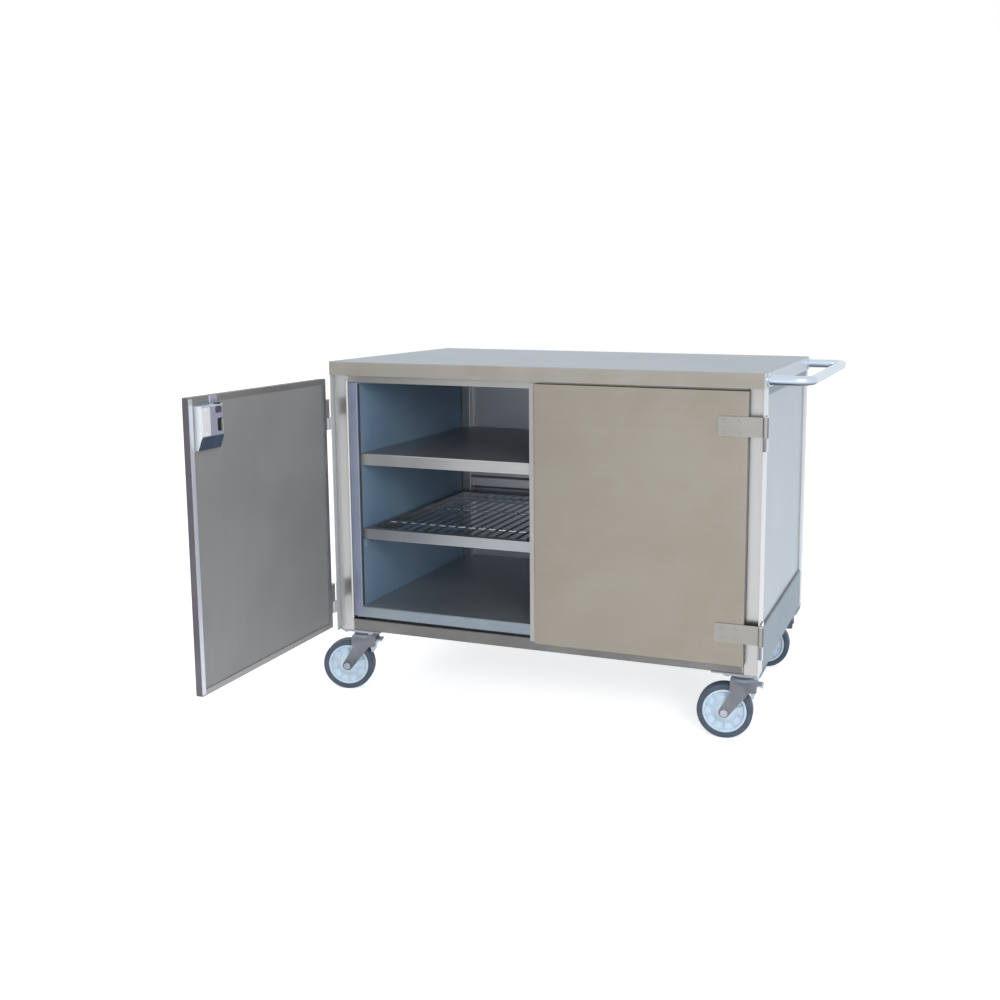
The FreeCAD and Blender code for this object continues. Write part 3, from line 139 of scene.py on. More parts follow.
# %% The belt's grain
grain_group, source, sink = effect_group(
    "Brushed grain",
    [("Vector", "Vector", None), ("Lines per metre", "Vector", (4.0, 900.0, 900.0))],
    [("Lines", "Float"), ("Streaks", "Float")],
)
lines_place = add_node(
    grain_group,
    "ShaderNodeVectorMath",
    {"operation": "MULTIPLY"},
    i0=source.outputs["Vector"],
    i1=source.outputs["Lines per metre"],
).outputs[0]
fine = add_node(grain_group, "ShaderNodeTexNoise", Vector=lines_place, Scale=1.0, Detail=3.0, Roughness=0.7)
wide_place = add_node(
    grain_group, "ShaderNodeVectorMath", {"operation": "SCALE"}, i0=lines_place, Scale=0.07
).outputs[0]
wide = add_node(grain_group, "ShaderNodeTexNoise", Vector=wide_place, Scale=1.0, Detail=2.0, Roughness=0.5)
grain_group.links.new(fine.outputs["Fac"], sink.inputs["Lines"])
grain_group.links.new(wide.outputs["Fac"], sink.inputs["Streaks"])
print("group", grain_group.name, [s.name for s in grain_group.interface.items_tree])

# %% Cloudy marks from wiping, and the sheet's long waves
marks_group, source, sink = effect_group(
    "Wiped marks",
    [("Vector", "Vector", None), ("Cloud size", "Float", 0.25)],
    [("Cloud", "Float"), ("Waves", "Float")],
)
cloud_scale = maths(marks_group, "DIVIDE", 1.0, source.outputs["Cloud size"])
cloud = add_node(
    marks_group,
    "ShaderNodeTexNoise",
    Vector=source.outputs["Vector"],
    Scale=cloud_scale,
    Detail=5.0,
    Roughness=0.55,
    Distortion=0.6,
)
soft_cloud = add_node(
    marks_group,
    "ShaderNodeMapRange",
    {"interpolation_type": "SMOOTHSTEP"},
    Value=cloud.outputs["Fac"],
    From_Min=0.35,
    From_Max=0.7,
)
waves = add_node(marks_group, "ShaderNodeTexNoise", Vector=source.outputs["Vector"], Scale=2.6, Detail=1.0)
marks_group.links.new(soft_cloud.outputs["Result"], sink.inputs["Cloud"])
marks_group.links.new(waves.outputs["Fac"], sink.inputs["Waves"])
print("group", marks_group.name, [s.name for s in marks_group.interface.items_tree])

# %% Folds and corners, with a painted highlight
edge_group, source, sink = effect_group(
    "Bright folds", [("Fold radius", "Float", 0.0015)], [("Edge", "Float"), ("Rounded normal", "Vector")]
)
rounded = add_node(edge_group, "ShaderNodeBevel", {"samples": 4}, Radius=source.outputs["Fold radius"])
flat_normal = add_node(edge_group, "ShaderNodeNewGeometry").outputs["Normal"]
agreement = add_node(
    edge_group, "ShaderNodeVectorMath", {"operation": "DOT_PRODUCT"}, i0=rounded.outputs[0], i1=flat_normal
).outputs["Value"]
edge = add_node(edge_group, "ShaderNodeMapRange", Value=agreement, From_Min=0.995, From_Max=0.85)
edge_group.links.new(edge.outputs["Result"], sink.inputs["Edge"])
edge_group.links.new(rounded.outputs[0], sink.inputs["Rounded normal"])
print("group", edge_group.name, [s.name for s in edge_group.interface.items_tree])

# %% Painted light and shade: a sheet's colour by the way each face looks
painted_light_group, source, sink = effect_group(
    "Painted light by facing",
    [(label, "Color", (0.5, 0.5, 0.5, 1.0)) for label in ("Front", "Side", "Top", "Inside")]
    + [("Inside direction", "Vector", (0.0, 0.0, 0.0))],
    [("Colour", "Color")],
)
# Painted light and shade: each face gets a lit or shaded copy of the colour by the way it looks.
face_normal = add_node(painted_light_group, "ShaderNodeTexCoord").outputs["Normal"]
looks = add_node(painted_light_group, "ShaderNodeSeparateXYZ", i0=face_normal)
steep = [maths(painted_light_group, "POWER", maths(painted_light_group, "ABSOLUTE", looks.outputs[i]), 2.0) for i in (0, 2)]
sided = mixed(painted_light_group, steep[0], source.outputs["Front"], source.outputs["Side"])
topped = mixed(painted_light_group, steep[1], sided, source.outputs["Top"])
inward = add_node(
    painted_light_group,
    "ShaderNodeVectorMath",
    {"operation": "DOT_PRODUCT"},
    i0=face_normal,
    i1=source.outputs["Inside direction"],
).outputs["Value"]
inward = maths(painted_light_group, "MULTIPLY", inward, 1.0, clamp=True)
lined = mixed(painted_light_group, inward, topped, source.outputs["Inside"])
painted_light_group.links.new(lined, sink.inputs["Colour"])
print("group", painted_light_group.name, [s.name for s in painted_light_group.interface.items_tree])

# %% [markdown]
# ## Steel finishes
# All of the cart's sheet and tube is the same alloy, but it doesn't look alike. Each sheet was brushed
# along its length, the door faces were polished less than the tubes, and the plated casters are
# duller, and their darker colours are painted dark reflection. The faces of a sheet that look to the front,
# to the side and up also get different greys and blues, which is painted light and shade. One function makes
# them all: the caller gives the colours, the roughness, the direction of the grain and how far the sheet is
# out of flat.

# %% Which way the belt ran
GRAIN_ACROSS = (5.0, 800.0, 800.0)
GRAIN_DEEP = (800.0, 5.0, 800.0)
GRAIN_UP = (800.0, 800.0, 5.0)
STREAK, STREAK_COLOUR = 0.09, (0.1, 0.1, 0.1, 1.0)
HAZE_COLOUR = (0.85, 0.86, 0.88, 1.0)
GLINT, GLINT_COLOUR = 0.35, (0.86, 0.88, 0.90, 1.0)
FOLD_RADIUS = 0.0012


def steel(
    name, colour, roughness, grain, side=None, top=None, inside=None, inside_direction=(0.0, 0.0, 0.0),
    line_depth=0.00001, wave_depth=0.0, cloud=0.08, metal=1.0,
):
    """Brushed or plated steel. The colour is for faces that look to the front or the back."""
    made = bpy.data.materials.new(name)
    made.use_nodes = True
    tree = made.node_tree
    shader = tree.nodes["Principled BSDF"]
    place = add_node(tree, "ShaderNodeTexCoord").outputs["Object"]
    lines = add_node(tree, "ShaderNodeGroup", {"node_tree": grain_group}, Vector=place, Lines_per_metre=grain)
    marks = add_node(tree, "ShaderNodeGroup", {"node_tree": marks_group}, Vector=place, Cloud_size=0.3)
    folds = add_node(tree, "ShaderNodeGroup", {"node_tree": edge_group}, Fold_radius=FOLD_RADIUS)
    # Painted light and shade: side, top and inside take lit and shaded copies of the front colour, chosen by
    # the way each face looks.
    painted_light_tints = [(*shade, 1.0) for shade in (colour, side or colour, top or colour, inside or colour)]
    base = add_node(
        tree,
        "ShaderNodeGroup",
        {"node_tree": painted_light_group},
        Front=painted_light_tints[0],
        Side=painted_light_tints[1],
        Top=painted_light_tints[2],
        Inside=painted_light_tints[3],
        Inside_direction=inside_direction,
    ).outputs["Colour"]
    darker = maths(tree, "MULTIPLY", lines.outputs["Streaks"], STREAK)
    streaked = mixed(tree, darker, base, STREAK_COLOUR)
    haze = maths(tree, "MULTIPLY", marks.outputs["Cloud"], cloud)
    hazed = mixed(tree, haze, streaked, HAZE_COLOUR)
    # Painted highlight: the base colour on folds and corners is mixed towards a pale grey.
    glint = maths(tree, "MULTIPLY", folds.outputs["Edge"], GLINT)
    tree.links.new(mixed(tree, glint, hazed, GLINT_COLOUR), shader.inputs["Base Color"])
    rough = maths(tree, "MULTIPLY_ADD", lines.outputs["Lines"], 0.10)
    rough.node.inputs[2].default_value = roughness - 0.05
    duller = maths(tree, "MULTIPLY", marks.outputs["Cloud"], cloud * 0.5)
    rough = maths(tree, "ADD", rough, duller, clamp=True)
    tree.links.new(rough, shader.inputs["Roughness"])
    depth = maths(tree, "MULTIPLY", lines.outputs["Lines"], line_depth)
    if wave_depth:
        depth = maths(tree, "ADD", depth, maths(tree, "MULTIPLY", marks.outputs["Waves"], wave_depth))
    soft_normal = folds.outputs["Rounded normal"]
    bump = add_node(tree, "ShaderNodeBump", Strength=1.0, Distance=1.0, Height=depth, Normal=soft_normal)
    tree.links.new(bump.outputs["Normal"], shader.inputs["Normal"])
    shader.inputs["Metallic"].default_value = metal
    shader.inputs["Anisotropic"].default_value = 0.3
    made.diffuse_color = painted_light_tints[0]
    return made


# %% [markdown]
# ## The finishes by name
# Each finish is one call. `side` and `top` are painted light and shade on the faces that look sideways and
# up, and
# `inside` paints the faces that look along `inside_direction`: the lining grey on the back of a door pan, a
# painted reflection on the compartment's side of the back panel, and painted shade on the underside of a
# tube. A longer direction makes the change sharper. A lower `metal` gives the chalky grey of a sheet that was
# only mill finished.

# %% Steel finishes
WARM, LINED, STRAP = (0.29, 0.265, 0.222), (0.31, 0.312, 0.32), (0.31, 0.30, 0.28)
DOWN, UNDER = (0.0, 0.0, -3.0), (0.0, 0.0, -1.3)
FORWARD, BACKWARD, TO_CABINET = (0.0, -1.0, 0.0), (0.0, 1.0, 0.0), (1.0, 1.0, 0.0)
finishes = {
    # Painted light: the right door's edges get a cooler grey than its face.
    "right_face": steel(
        "Right door steel", WARM, 0.46, GRAIN_ACROSS, side=(0.30, 0.30, 0.31),
        inside=LINED, inside_direction=BACKWARD, wave_depth=0.0008, cloud=0.05,
    ),
    # Painted shade and light: the open door's free edge is near black, its top darker, and its outer face
    # takes the right door's warm front colour.
    "left_face": steel(
        "Left door steel", (0.11, 0.102, 0.122), 0.46, GRAIN_DEEP, side=WARM, top=(0.22, 0.22, 0.23),
        inside=(0.36, 0.36, 0.37), inside_direction=TO_CABINET, wave_depth=0.0008, cloud=0.05,
    ),
    "door_inside": steel(
        "Door lining steel", (0.275, 0.275, 0.277), 0.60, GRAIN_UP, wave_depth=0.0006, cloud=0.05, metal=0.3
    ),
    "edge_strip": steel("Meeting edge painted highlight", (0.74, 0.75, 0.85), 0.40, GRAIN_UP, cloud=0.05, metal=0.6),
    # Painted light: the worktop's sides are a bright pale blue and its top a cooler blue than its warm front.
    "worktop": steel(
        "Worktop steel", (0.315, 0.298, 0.26), 0.54, GRAIN_ACROSS, side=(0.58, 0.65, 0.71),
        top=(0.40, 0.452, 0.50), wave_depth=0.0006, metal=0.7,
    ),
    "header": steel("Header tube steel", (0.36, 0.35, 0.34), 0.38, GRAIN_ACROSS),
    "base_tube": steel("Base tube steel", (0.15, 0.147, 0.145), 0.38, GRAIN_ACROSS),
    # Painted light: the tubes' faces that look sideways get other shades than their fronts.
    "tube_deep": steel("Side tube steel", (0.24, 0.26, 0.28), 0.38, GRAIN_DEEP, side=(0.145, 0.212, 0.262)),
    "tube_up": steel("Post steel", (0.45, 0.45, 0.44), 0.32, GRAIN_UP, side=(0.60, 0.62, 0.64)),
    # Painted light: the side sheets and the compartment's walls are tinted blue by the cool light from the
    # right, and the walls get a paler blue than the jambs.
    "side_sheet": steel("Side sheet steel", (0.385, 0.437, 0.49), 0.40, GRAIN_UP, wave_depth=0.0008),
    "inner_side": steel(
        "Lining steel", (0.235, 0.26, 0.365), 0.48, GRAIN_DEEP, side=(0.25, 0.39, 0.545),
        wave_depth=0.0008, metal=0.35,
    ),
    # Painted reflection: the faces that look into the compartment are much paler than the back's outside.
    "inner_back": steel(
        "Back panel steel", (0.36, 0.38, 0.41), 0.46, GRAIN_ACROSS,
        inside=(0.62, 0.62, 0.65), inside_direction=FORWARD, wave_depth=0.0008, metal=0.85,
    ),
    # Painted light and shade: the floor's top is paler, and the shelf's top darker, than their fronts.
    "cabinet_floor": steel(
        "Cabinet floor steel", (0.23, 0.28, 0.32), 0.42, GRAIN_ACROSS, top=(0.30, 0.33, 0.36), metal=0.7
    ),
    "shelf": steel("Shelf steel", (0.42, 0.425, 0.43), 0.36, GRAIN_ACROSS, top=(0.30, 0.31, 0.33), metal=0.8),
    "shelf_edge": steel("Shelf rail steel", (0.33, 0.345, 0.365), 0.36, GRAIN_ACROSS),
    "bright": steel("Bright drawn steel", (0.48, 0.52, 0.56), 0.24, GRAIN_ACROSS, line_depth=0.000004),
    # Painted shade: the handle tube's underside is near black.
    "handle": steel(
        "Handle tube steel", (0.60, 0.70, 0.80), 0.24, GRAIN_DEEP,
        inside=(0.06, 0.07, 0.10), inside_direction=UNDER, line_depth=0.000004,
    ),
    # Painted shade: the right straps' edges are near black.
    "strap": steel("Hinge strap steel", STRAP, 0.44, GRAIN_ACROSS, side=(0.10, 0.10, 0.115), cloud=0.05),
    "left_strap": steel("Left strap steel", STRAP, 0.44, GRAIN_DEEP, cloud=0.05),
    # Painted highlight and shade: the leaf's side face is near white and its edges dark.
    "leaf": steel("Hinge leaf steel", (0.15, 0.16, 0.17), 0.34, GRAIN_UP, side=(0.74, 0.75, 0.80)),
    # Painted light and shade: the case's face is near white as a painted highlight, its sides and top take
    # other shades, and its underside is painted dark shade.
    "latch_shell": steel(
        "Latch case steel", (0.78, 0.82, 0.84), 0.34, GRAIN_UP,
        side=(0.44, 0.44, 0.58), top=(0.50, 0.64, 0.76), inside=(0.055, 0.09, 0.145),
        inside_direction=DOWN, line_depth=0.000006, metal=0.35,
    ),
    # Painted highlight: the cover plate is near white and mostly matte.
    "latch_bright": steel(
        "Latch plate steel", (0.90, 0.91, 0.92), 0.45, GRAIN_UP, line_depth=0.000004, cloud=0.05, metal=0.3
    ),
    "latch_dark": steel("Blackened latch steel", (0.035, 0.045, 0.05), 0.40, GRAIN_UP, line_depth=0.000004),
    "latch_cup": steel("Latch cup steel", (0.42, 0.42, 0.43), 0.34, GRAIN_UP, line_depth=0.000006),
    "weld": steel("Weld bead steel", (0.36, 0.35, 0.34), 0.40, GRAIN_UP, line_depth=0.0, cloud=0.3),
    # Painted light and shade: the zinc's sides and tops are lighter than its front, and the forks' near-black
    # front is painted dark reflection.
    "zinc": steel(
        "Bright zinc plate", (0.20, 0.23, 0.30), 0.24, GRAIN_UP, side=(0.30, 0.38, 0.48),
        top=(0.50, 0.55, 0.62), line_depth=0.000004, cloud=0.35,
    ),
    "fork": steel(
        "Zinc plate with painted dark reflection", (0.028, 0.034, 0.062), 0.46, GRAIN_UP, side=(0.06, 0.10, 0.17),
        top=(0.42, 0.52, 0.62), line_depth=0.000004, cloud=0.25, metal=0.25,
    ),
}
print("steel finishes:", ", ".join(sorted(finishes)))

# %% [markdown]
# ## The wheels' moulded parts
# The wheel's body is a smooth pale moulding and the tyre a dark, dull one. Neither is metal, so both
# have a lower, softer gloss. The tyre picks up floor dust where it rolls and scuffs at its shoulders,
# which a noise mask and the same fold mask give without painting anything by hand.


# %% Moulded core and tyre
def moulded(name, colour, worn_colour, roughness, grit, wear):
    made = bpy.data.materials.new(name)
    made.use_nodes = True
    tree = made.node_tree
    shader = tree.nodes["Principled BSDF"]
    place = add_node(tree, "ShaderNodeTexCoord").outputs["Object"]
    marks = add_node(tree, "ShaderNodeGroup", {"node_tree": marks_group}, Vector=place, Cloud_size=0.03)
    folds = add_node(tree, "ShaderNodeGroup", {"node_tree": edge_group}, Fold_radius=0.0015)
    speckle = add_node(tree, "ShaderNodeTexNoise", Vector=place, Scale=1400.0, Detail=2.0)
    dusty = maths(tree, "MULTIPLY", marks.outputs["Cloud"], wear)
    worn = maths(tree, "ADD", dusty, maths(tree, "MULTIPLY", folds.outputs["Edge"], wear), clamp=True)
    tree.links.new(mixed(tree, worn, (*colour, 1.0), (*worn_colour, 1.0)), shader.inputs["Base Color"])
    rough = maths(tree, "MULTIPLY_ADD", marks.outputs["Cloud"], 0.15)
    rough.node.inputs[2].default_value = roughness
    tree.links.new(rough, shader.inputs["Roughness"])
    depth = maths(tree, "MULTIPLY", speckle.outputs["Fac"], grit)
    soft_normal = folds.outputs["Rounded normal"]
    bump = add_node(tree, "ShaderNodeBump", Strength=1.0, Distance=1.0, Height=depth, Normal=soft_normal)
    tree.links.new(bump.outputs["Normal"], shader.inputs["Normal"])
    shader.inputs["Metallic"].default_value = 0.0
    made.diffuse_color = (*colour, 1.0)
    return made


finishes["wheel_core"] = moulded(
    "Moulded wheel core", (0.62, 0.74, 0.85), (0.46, 0.54, 0.62), 0.34, 0.00002, 0.35
)
finishes["tyre"] = moulded("Dark tyre", (0.045, 0.065, 0.10), (0.13, 0.16, 0.22), 0.5, 0.00008, 0.4)
finishes["grip"] = moulded("Dark rubber grip", (0.05, 0.055, 0.065), (0.12, 0.13, 0.14), 0.6, 0.00006, 0.3)
finishes["nylon"] = moulded("Nut insert nylon", (0.10, 0.20, 0.42), (0.16, 0.24, 0.40), 0.4, 0.00001, 0.2)
print("moulded finishes:", [finishes[k].name for k in ("wheel_core", "tyre", "grip", "nylon")])

# %% [markdown]
# ## Dress the solids
# Every CAD node keeps its shape and gets the finish that its sheet was brushed with. A list by finish
# is easier to check against the photograph than sixty separate lines.

# %% Give each solid its finish
CASTERS = ("front_left", "front_right", "rear_left", "rear_right")
worn_by = {
    "worktop": ["worktop"],
    "right_face": ["right_door_pan"],
    "left_face": ["left_door_pan"],
    "door_inside": ["left_door_liner", "right_door_liner"],
    "header": ["header_rail", "rear_top_rail", "astragal"],
    "base_tube": ["front_base_rail", "rear_base_rail"],
    "tube_deep": ["side_top_rails", "side_base_rails", "corner_gussets"],
    "tube_up": ["front_posts", "rear_posts", "rear_uprights"],
    "side_sheet": ["left_side_panel", "right_side_panel"],
    "inner_side": ["left_liner", "right_liner", "shelf_ledges"],
    "inner_back": ["back_panel", "back_rib"],
    "cabinet_floor": ["floor_pan"],
    "shelf": ["upper_shelf"],
    "shelf_edge": ["grid_front_rail", "grid_rear_rail", "grid_side_rails"],
    "bright": ["grid_rods", "hinge_pins"],
    "handle": ["push_handle", "handle_rosettes"],
    "strap": ["right_door_straps"],
    "left_strap": ["left_door_straps"],
    "leaf": ["hinge_frame_leaves"],
    "latch_shell": ["latch_case"],
    "latch_cup": ["latch_cup", "latch_handle"],
    "latch_dark": ["latch_crank", "latch_bolt"],
    "zinc": ["caster_plates", "caster_bolts"]
    + [f"{c}_axle" for c in CASTERS]
    + [f"{c}_brake_pedal" for c in CASTERS[:2]],
    "fork": [f"{c}_fork" for c in CASTERS],
    "wheel_core": [f"{c}_wheel" for c in CASTERS],
    "tyre": [f"{c}_tread" for c in CASTERS],
}


def wear(shown, finish):
    shown.data.materials.clear()
    shown.data.materials.append(finishes[finish])


for finish, names in worn_by.items():
    for name in names:
        wear(nodes[name], finish)
undressed = sorted(set(nodes) - {name for names in worn_by.values() for name in names})
print("dressed", sum(len(names) for names in worn_by.values()), "nodes; left over:", undressed)

# %% [markdown]
# ## Small parts by the dozen
# Screws, rivets and nuts repeat, so one turned outline can serve a whole row. `turned_row` spins an
# outline of radius against height round an axis and copies it to each place, as one mesh. A round recess for
# the driver is cut into the outline, so the heads read as screws up close.


# %% Turned pieces and their placing
def facing(place, direction, spin=0.0):
    """The matrix that stands something up at a place, with its Z axis along a direction."""
    turn = Vector((0, 0, 1)).rotation_difference(Vector(direction).normalized())
    return Matrix.Translation(place) @ turn.to_matrix().to_4x4() @ Matrix.Rotation(spin, 4, "Z")


def finish_piece(name, mesh, body, finish, smooth_angle=0.6):
    """Wraps a bmesh as a piece: it is shaded smooth across shallow edges and rides on a body."""
    data = bpy.data.meshes.new(name)
    bmesh.ops.recalc_face_normals(mesh, faces=mesh.faces)
    mesh.to_mesh(data)
    mesh.free()
    made = bpy.data.objects.new(name, data)
    bpy.context.scene.collection.objects.link(made)
    for face in data.polygons:
        face.use_smooth = True
    data.set_sharp_from_angle(angle=smooth_angle)
    data.materials.append(finishes[finish])
    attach(made, body)
    return made


def add_turned(mesh, outline, matrix, segments=20):
    """Adds a solid of revolution. The outline runs from the axis out and back to the axis, in metres."""
    rings = []
    for radius, height in outline:
        if radius <= 1e-7:
            rings.append([mesh.verts.new(matrix @ Vector((0, 0, height)))])
            continue
        ring = []
        for i in range(segments):
            turn = 2 * math.pi * i / segments
            spot = Vector((radius * math.cos(turn), radius * math.sin(turn), height))
            ring.append(mesh.verts.new(matrix @ spot))
        rings.append(ring)
    for lower, upper in zip(rings, rings[1:]):
        for i in range(segments):
            j = (i + 1) % segments
            corners = [lower[i % len(lower)], lower[j % len(lower)]]
            corners += [upper[j % len(upper)], upper[i % len(upper)]]
            unique = list(dict.fromkeys(corners))
            if len(unique) > 2:
                mesh.faces.new(unique)


def turned_row(name, outline, places, body, finish, segments=20):
    mesh = bmesh.new()
    for place, direction in places:
        add_turned(mesh, outline, facing(place, direction), segments)
    print(f"{name}: {len(places)} turned pieces on {body}")
    return finish_piece(name, mesh, body, finish)


def millimetres(outline):
    return [(radius / 1000, height / 1000) for radius, height in outline]


screw_head = millimetres(
    [(0, 0.35), (1.3, 0.35), (1.5, 1.1), (2.6, 1.15), (3.6, 0.7), (4.1, 0.1), (4.1, -0.3), (0, -0.3)]
)
rivet_head = millimetres([(0, 0.5), (0.9, 0.6), (1.2, 1.0), (2.2, 0.9), (3.0, 0.2), (3.1, -0.3), (0, -0.3)])

# %% [markdown]
# ## Hinge screws
# A lift-off strap hinge is screwed to the door's face and to the post's side. Low button heads are what
# such hinges have. The left strap's screws are placed on the shut door and swung open with it.

# %% Screws through the straps and the frame leaves
strap_low, strap_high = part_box("right_door_straps")
strap_height, hinge_height, screw_margin = 51.0, 86.0, 14.0
strap_screw_columns, strap_face = (62.0, 100.0), -3.0
leaf_screw_line, leaf_thickness = 41.0, 1.0
strap_centres = [strap_high.z * 1000 - strap_height / 2, strap_low.z * 1000 + strap_height / 2]
width = cabinet_size.x * 1000
outer = Vector((0, -1, 0))
right_places, left_places, post_places = [], [], []
for centre in strap_centres:
    for x in strap_screw_columns:
        for z in (centre - screw_margin, centre + screw_margin):
            right_places.append((at(width - x, strap_face, z), outer))
            left_places.append((on_left_door(x, strap_face, z), open_turn @ outer))
    foot = centre + strap_height / 2 - hinge_height
    for z in (foot + screw_margin, foot + hinge_height - screw_margin):
        post_places.append((at(-leaf_thickness, leaf_screw_line, z), Vector((-1, 0, 0))))
        post_places.append((at(width + leaf_thickness, leaf_screw_line, z), Vector((1, 0, 0))))
turned_row("right_strap_screws", screw_head, right_places, "right_door", "strap")
turned_row("left_strap_screws", screw_head, left_places, "left_door", "strap")
turned_row("post_leaf_screws", screw_head, post_places, "cabinet", "bright")

# %% [markdown]
# ## Latch trim
# The latch is the one busy spot on a plain door. Its case has a bright riveted cover plate, a small dark
# buffer above the window that shows the bolt, and an ear with two screws. Four screws hold the cup's
# rim, and a domed cap closes the turn bar's shaft. The plate is a rounded outline pushed through, which
# is quicker and cleaner than cutting corners off a box.


# %% A rounded plate, and the latch's plate, screws and cap
CORNER_STEPS = 5

def add_plate(mesh, centre, across, rise, half_width, half_height, thickness, radius, chamfer=0.0004):
    """Adds a plate with round corners and a small chamfer, standing up along across x rise."""
    normal = across.cross(rise).normalized()
    corners = []
    for index, (side_x, side_y) in enumerate(((1, 1), (-1, 1), (-1, -1), (1, -1))):
        for step in range(CORNER_STEPS + 1):
            angle = math.pi / 2 * (index + step / CORNER_STEPS)
            corners.append((side_x, side_y, math.cos(angle), math.sin(angle)))
    layers = []
    for shrink, height in ((0, 0), (0, thickness - chamfer), (chamfer, thickness)):
        layer = []
        for side_x, side_y, cos, sin in corners:
            u = side_x * (half_width - radius) + (radius - shrink) * cos
            v = side_y * (half_height - radius) + (radius - shrink) * sin
            layer.append(mesh.verts.new(centre + across * u + rise * v + normal * height))
        layers.append(layer)
    for lower, upper in zip(layers, layers[1:]):
        for i in range(len(lower)):
            j = (i + 1) % len(lower)
            mesh.faces.new((lower[i], lower[j], upper[j], upper[i]))
    mesh.faces.new(layers[0])
    mesh.faces.new(layers[-1])


door_across = open_turn @ Vector((1, 0, 0))
door_inward = open_turn @ Vector((0, 1, 0))
rise = Vector((0, 0, 1))
turn_low, turn_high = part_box("latch_handle")
latch_x, latch_z = 568.0, (turn_low.z + turn_high.z) * 500
case_face, ear_face, cup_rim, bar_face = 37.0, 20.4, -1.5, 3.0
plate_x, plate_z, plate_thickness = latch_x + 25.0, latch_z + 15.0, 1.2
# The cover plate's near-white colour is a painted highlight.
mesh = bmesh.new()
plate_place = on_left_door(plate_x, case_face, plate_z)
add_plate(mesh, plate_place, -door_across, rise, 0.0155, 0.034, plate_thickness / 1000, 0.003)
finish_piece("latch_cover_plate", mesh, "left_door", "latch_bright")
plate_rivets = [
    (on_left_door(plate_x, case_face + plate_thickness, plate_z + z), door_inward) for z in (-28.0, 28.0)
]
turned_row("latch_plate_rivets", rivet_head, plate_rivets, "left_door", "latch_bright")
mesh = bmesh.new()
buffer_place = on_left_door(latch_x - 21.0, case_face, latch_z + 41.0)
add_plate(mesh, buffer_place, -door_across, rise, 0.0095, 0.0075, 0.0030, 0.003)
finish_piece("latch_buffer", mesh, "left_door", "grip")
ear_screws = [(on_left_door(latch_x - 27.0 + x, ear_face, latch_z + 68.0), door_inward) for x in (-7.0, 7.0)]
turned_row("latch_ear_screws", rivet_head, ear_screws, "left_door", "latch_shell")
cup_screws = [
    (on_left_door(latch_x + x, cup_rim, latch_z + z), -door_inward)
    for x in (-43.0, 43.0) for z in (-53.0, 53.0)
]
turned_row("latch_cup_screws", rivet_head, cup_screws, "left_door", "bright")
cap = millimetres([(0, 1.4), (3.0, 1.2), (4.6, 0.5), (5.0, -0.2), (0, -0.2)])
cap_place = (on_left_door(latch_x, bar_face, latch_z), -door_inward)
turned_row("turn_bar_cap", cap, [cap_place], "latch_turn", "latch_cup")

# %% [markdown]
# ## Meeting edge highlight
# Along its free edge the left door carries a flat pale strip, which is a painted highlight on the fold of the
# pan's lip. It is brighter than the lining beside it and covers only that lip, so it is a long thin plate.

# %% A pale strip down the left door's free edge, as a painted highlight
pan_low, pan_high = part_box("left_door_pan")
door_foot, door_top = pan_low.z * 1000, pan_high.z * 1000
free_edge, strip_setback, door_thickness = 631.0, 7.5, 19.0
strip_half_height = (door_top - door_foot) / 2000 - 0.004
strip_centre = on_left_door(free_edge - strip_setback, door_thickness, (door_foot + door_top) / 2)
mesh = bmesh.new()
add_plate(mesh, strip_centre, -door_across, rise, 0.0065, strip_half_height, 0.0003, 0.0015, 0.0001)
finish_piece("meeting_edge_highlight_strip", mesh, "left_door", "edge_strip")

# %% [markdown]
# ## Welds
# The tubes of the frame are welded at their joints and only lightly ground, so a thin rippled bead shows
# where a rail meets a post. A bead is a half-round strip whose height rises and falls along its length;
# a mesh strip does it with few faces, while a curve with a displacement would need thousands.


# %% Beads at the frame's joints and round the handle's collars
def add_bead(mesh, points, normals, half_width=0.0017, height=0.0006, pitch=0.0022):
    """Adds a rippled half-round strip along a line of points, each with the direction that it stands out."""
    rows = []
    travelled = 0.0
    for i, (point, normal) in enumerate(zip(points, normals)):
        before, after = points[max(i - 1, 0)], points[min(i + 1, len(points) - 1)]
        travelled += (point - before).length
        side = (after - before).normalized().cross(normal)
        end = min(i, len(points) - 1 - i)
        full = min(1.0, 0.35 + 0.35 * end)
        crest = height * full * (0.75 + 0.25 * math.cos(2 * math.pi * travelled / pitch))
        row = []
        for step in range(7):
            angle = math.pi * step / 6
            out = normal * (crest * math.sin(angle) - 0.0001)
            row.append(mesh.verts.new(point + side * (half_width * full * math.cos(angle)) + out))
        rows.append(row)
    for first, second in zip(rows, rows[1:]):
        for a, b, c, d in zip(first, first[1:], second[1:], second):
            mesh.faces.new((a, b, c, d))
        mesh.faces.new((first[-1], first[0], second[0], second[-1]))
    mesh.faces.new(rows[0])
    mesh.faces.new(rows[-1])


def straight(start, end, step=0.0011):
    count = max(4, round((end - start).length / step))
    return [start.lerp(end, i / count) for i in range(count + 1)]


chassis, rail_top, side_top, header_foot, deck = 196.0, 231.0, 316.0, 934.0, 955.0
front, rear, post = 22.0, 752.0, 44.0
mesh = bmesh.new()
seams = []
for x in (2.0 + post, width - 2.0 - post):
    seams.append((at(x, front, chassis + 3), at(x, front, rail_top - 3), Vector((0, -1, 0))))
    seams.append((at(x, front, header_foot + 3), at(x, front, deck), Vector((0, -1, 0))))
    seams.append((at(x, rear, chassis + 3), at(x, rear, rail_top - 3), Vector((0, 1, 0))))
    seams.append((at(x, rear, header_foot + 3), at(x, rear, deck), Vector((0, 1, 0))))
for x, out in ((2.0, Vector((-1, 0, 0))), (width - 2.0, Vector((1, 0, 0)))):
    for y in (front + post, rear - post):
        seams.append((at(x, y, chassis + 3), at(x, y, side_top - 3), out))
        seams.append((at(x, y, header_foot + 3), at(x, y, deck), out))
for start, end, out in seams:
    line = straight(start, end)
    add_bead(mesh, line, [out] * len(line))
print(len(seams), "frame seams")
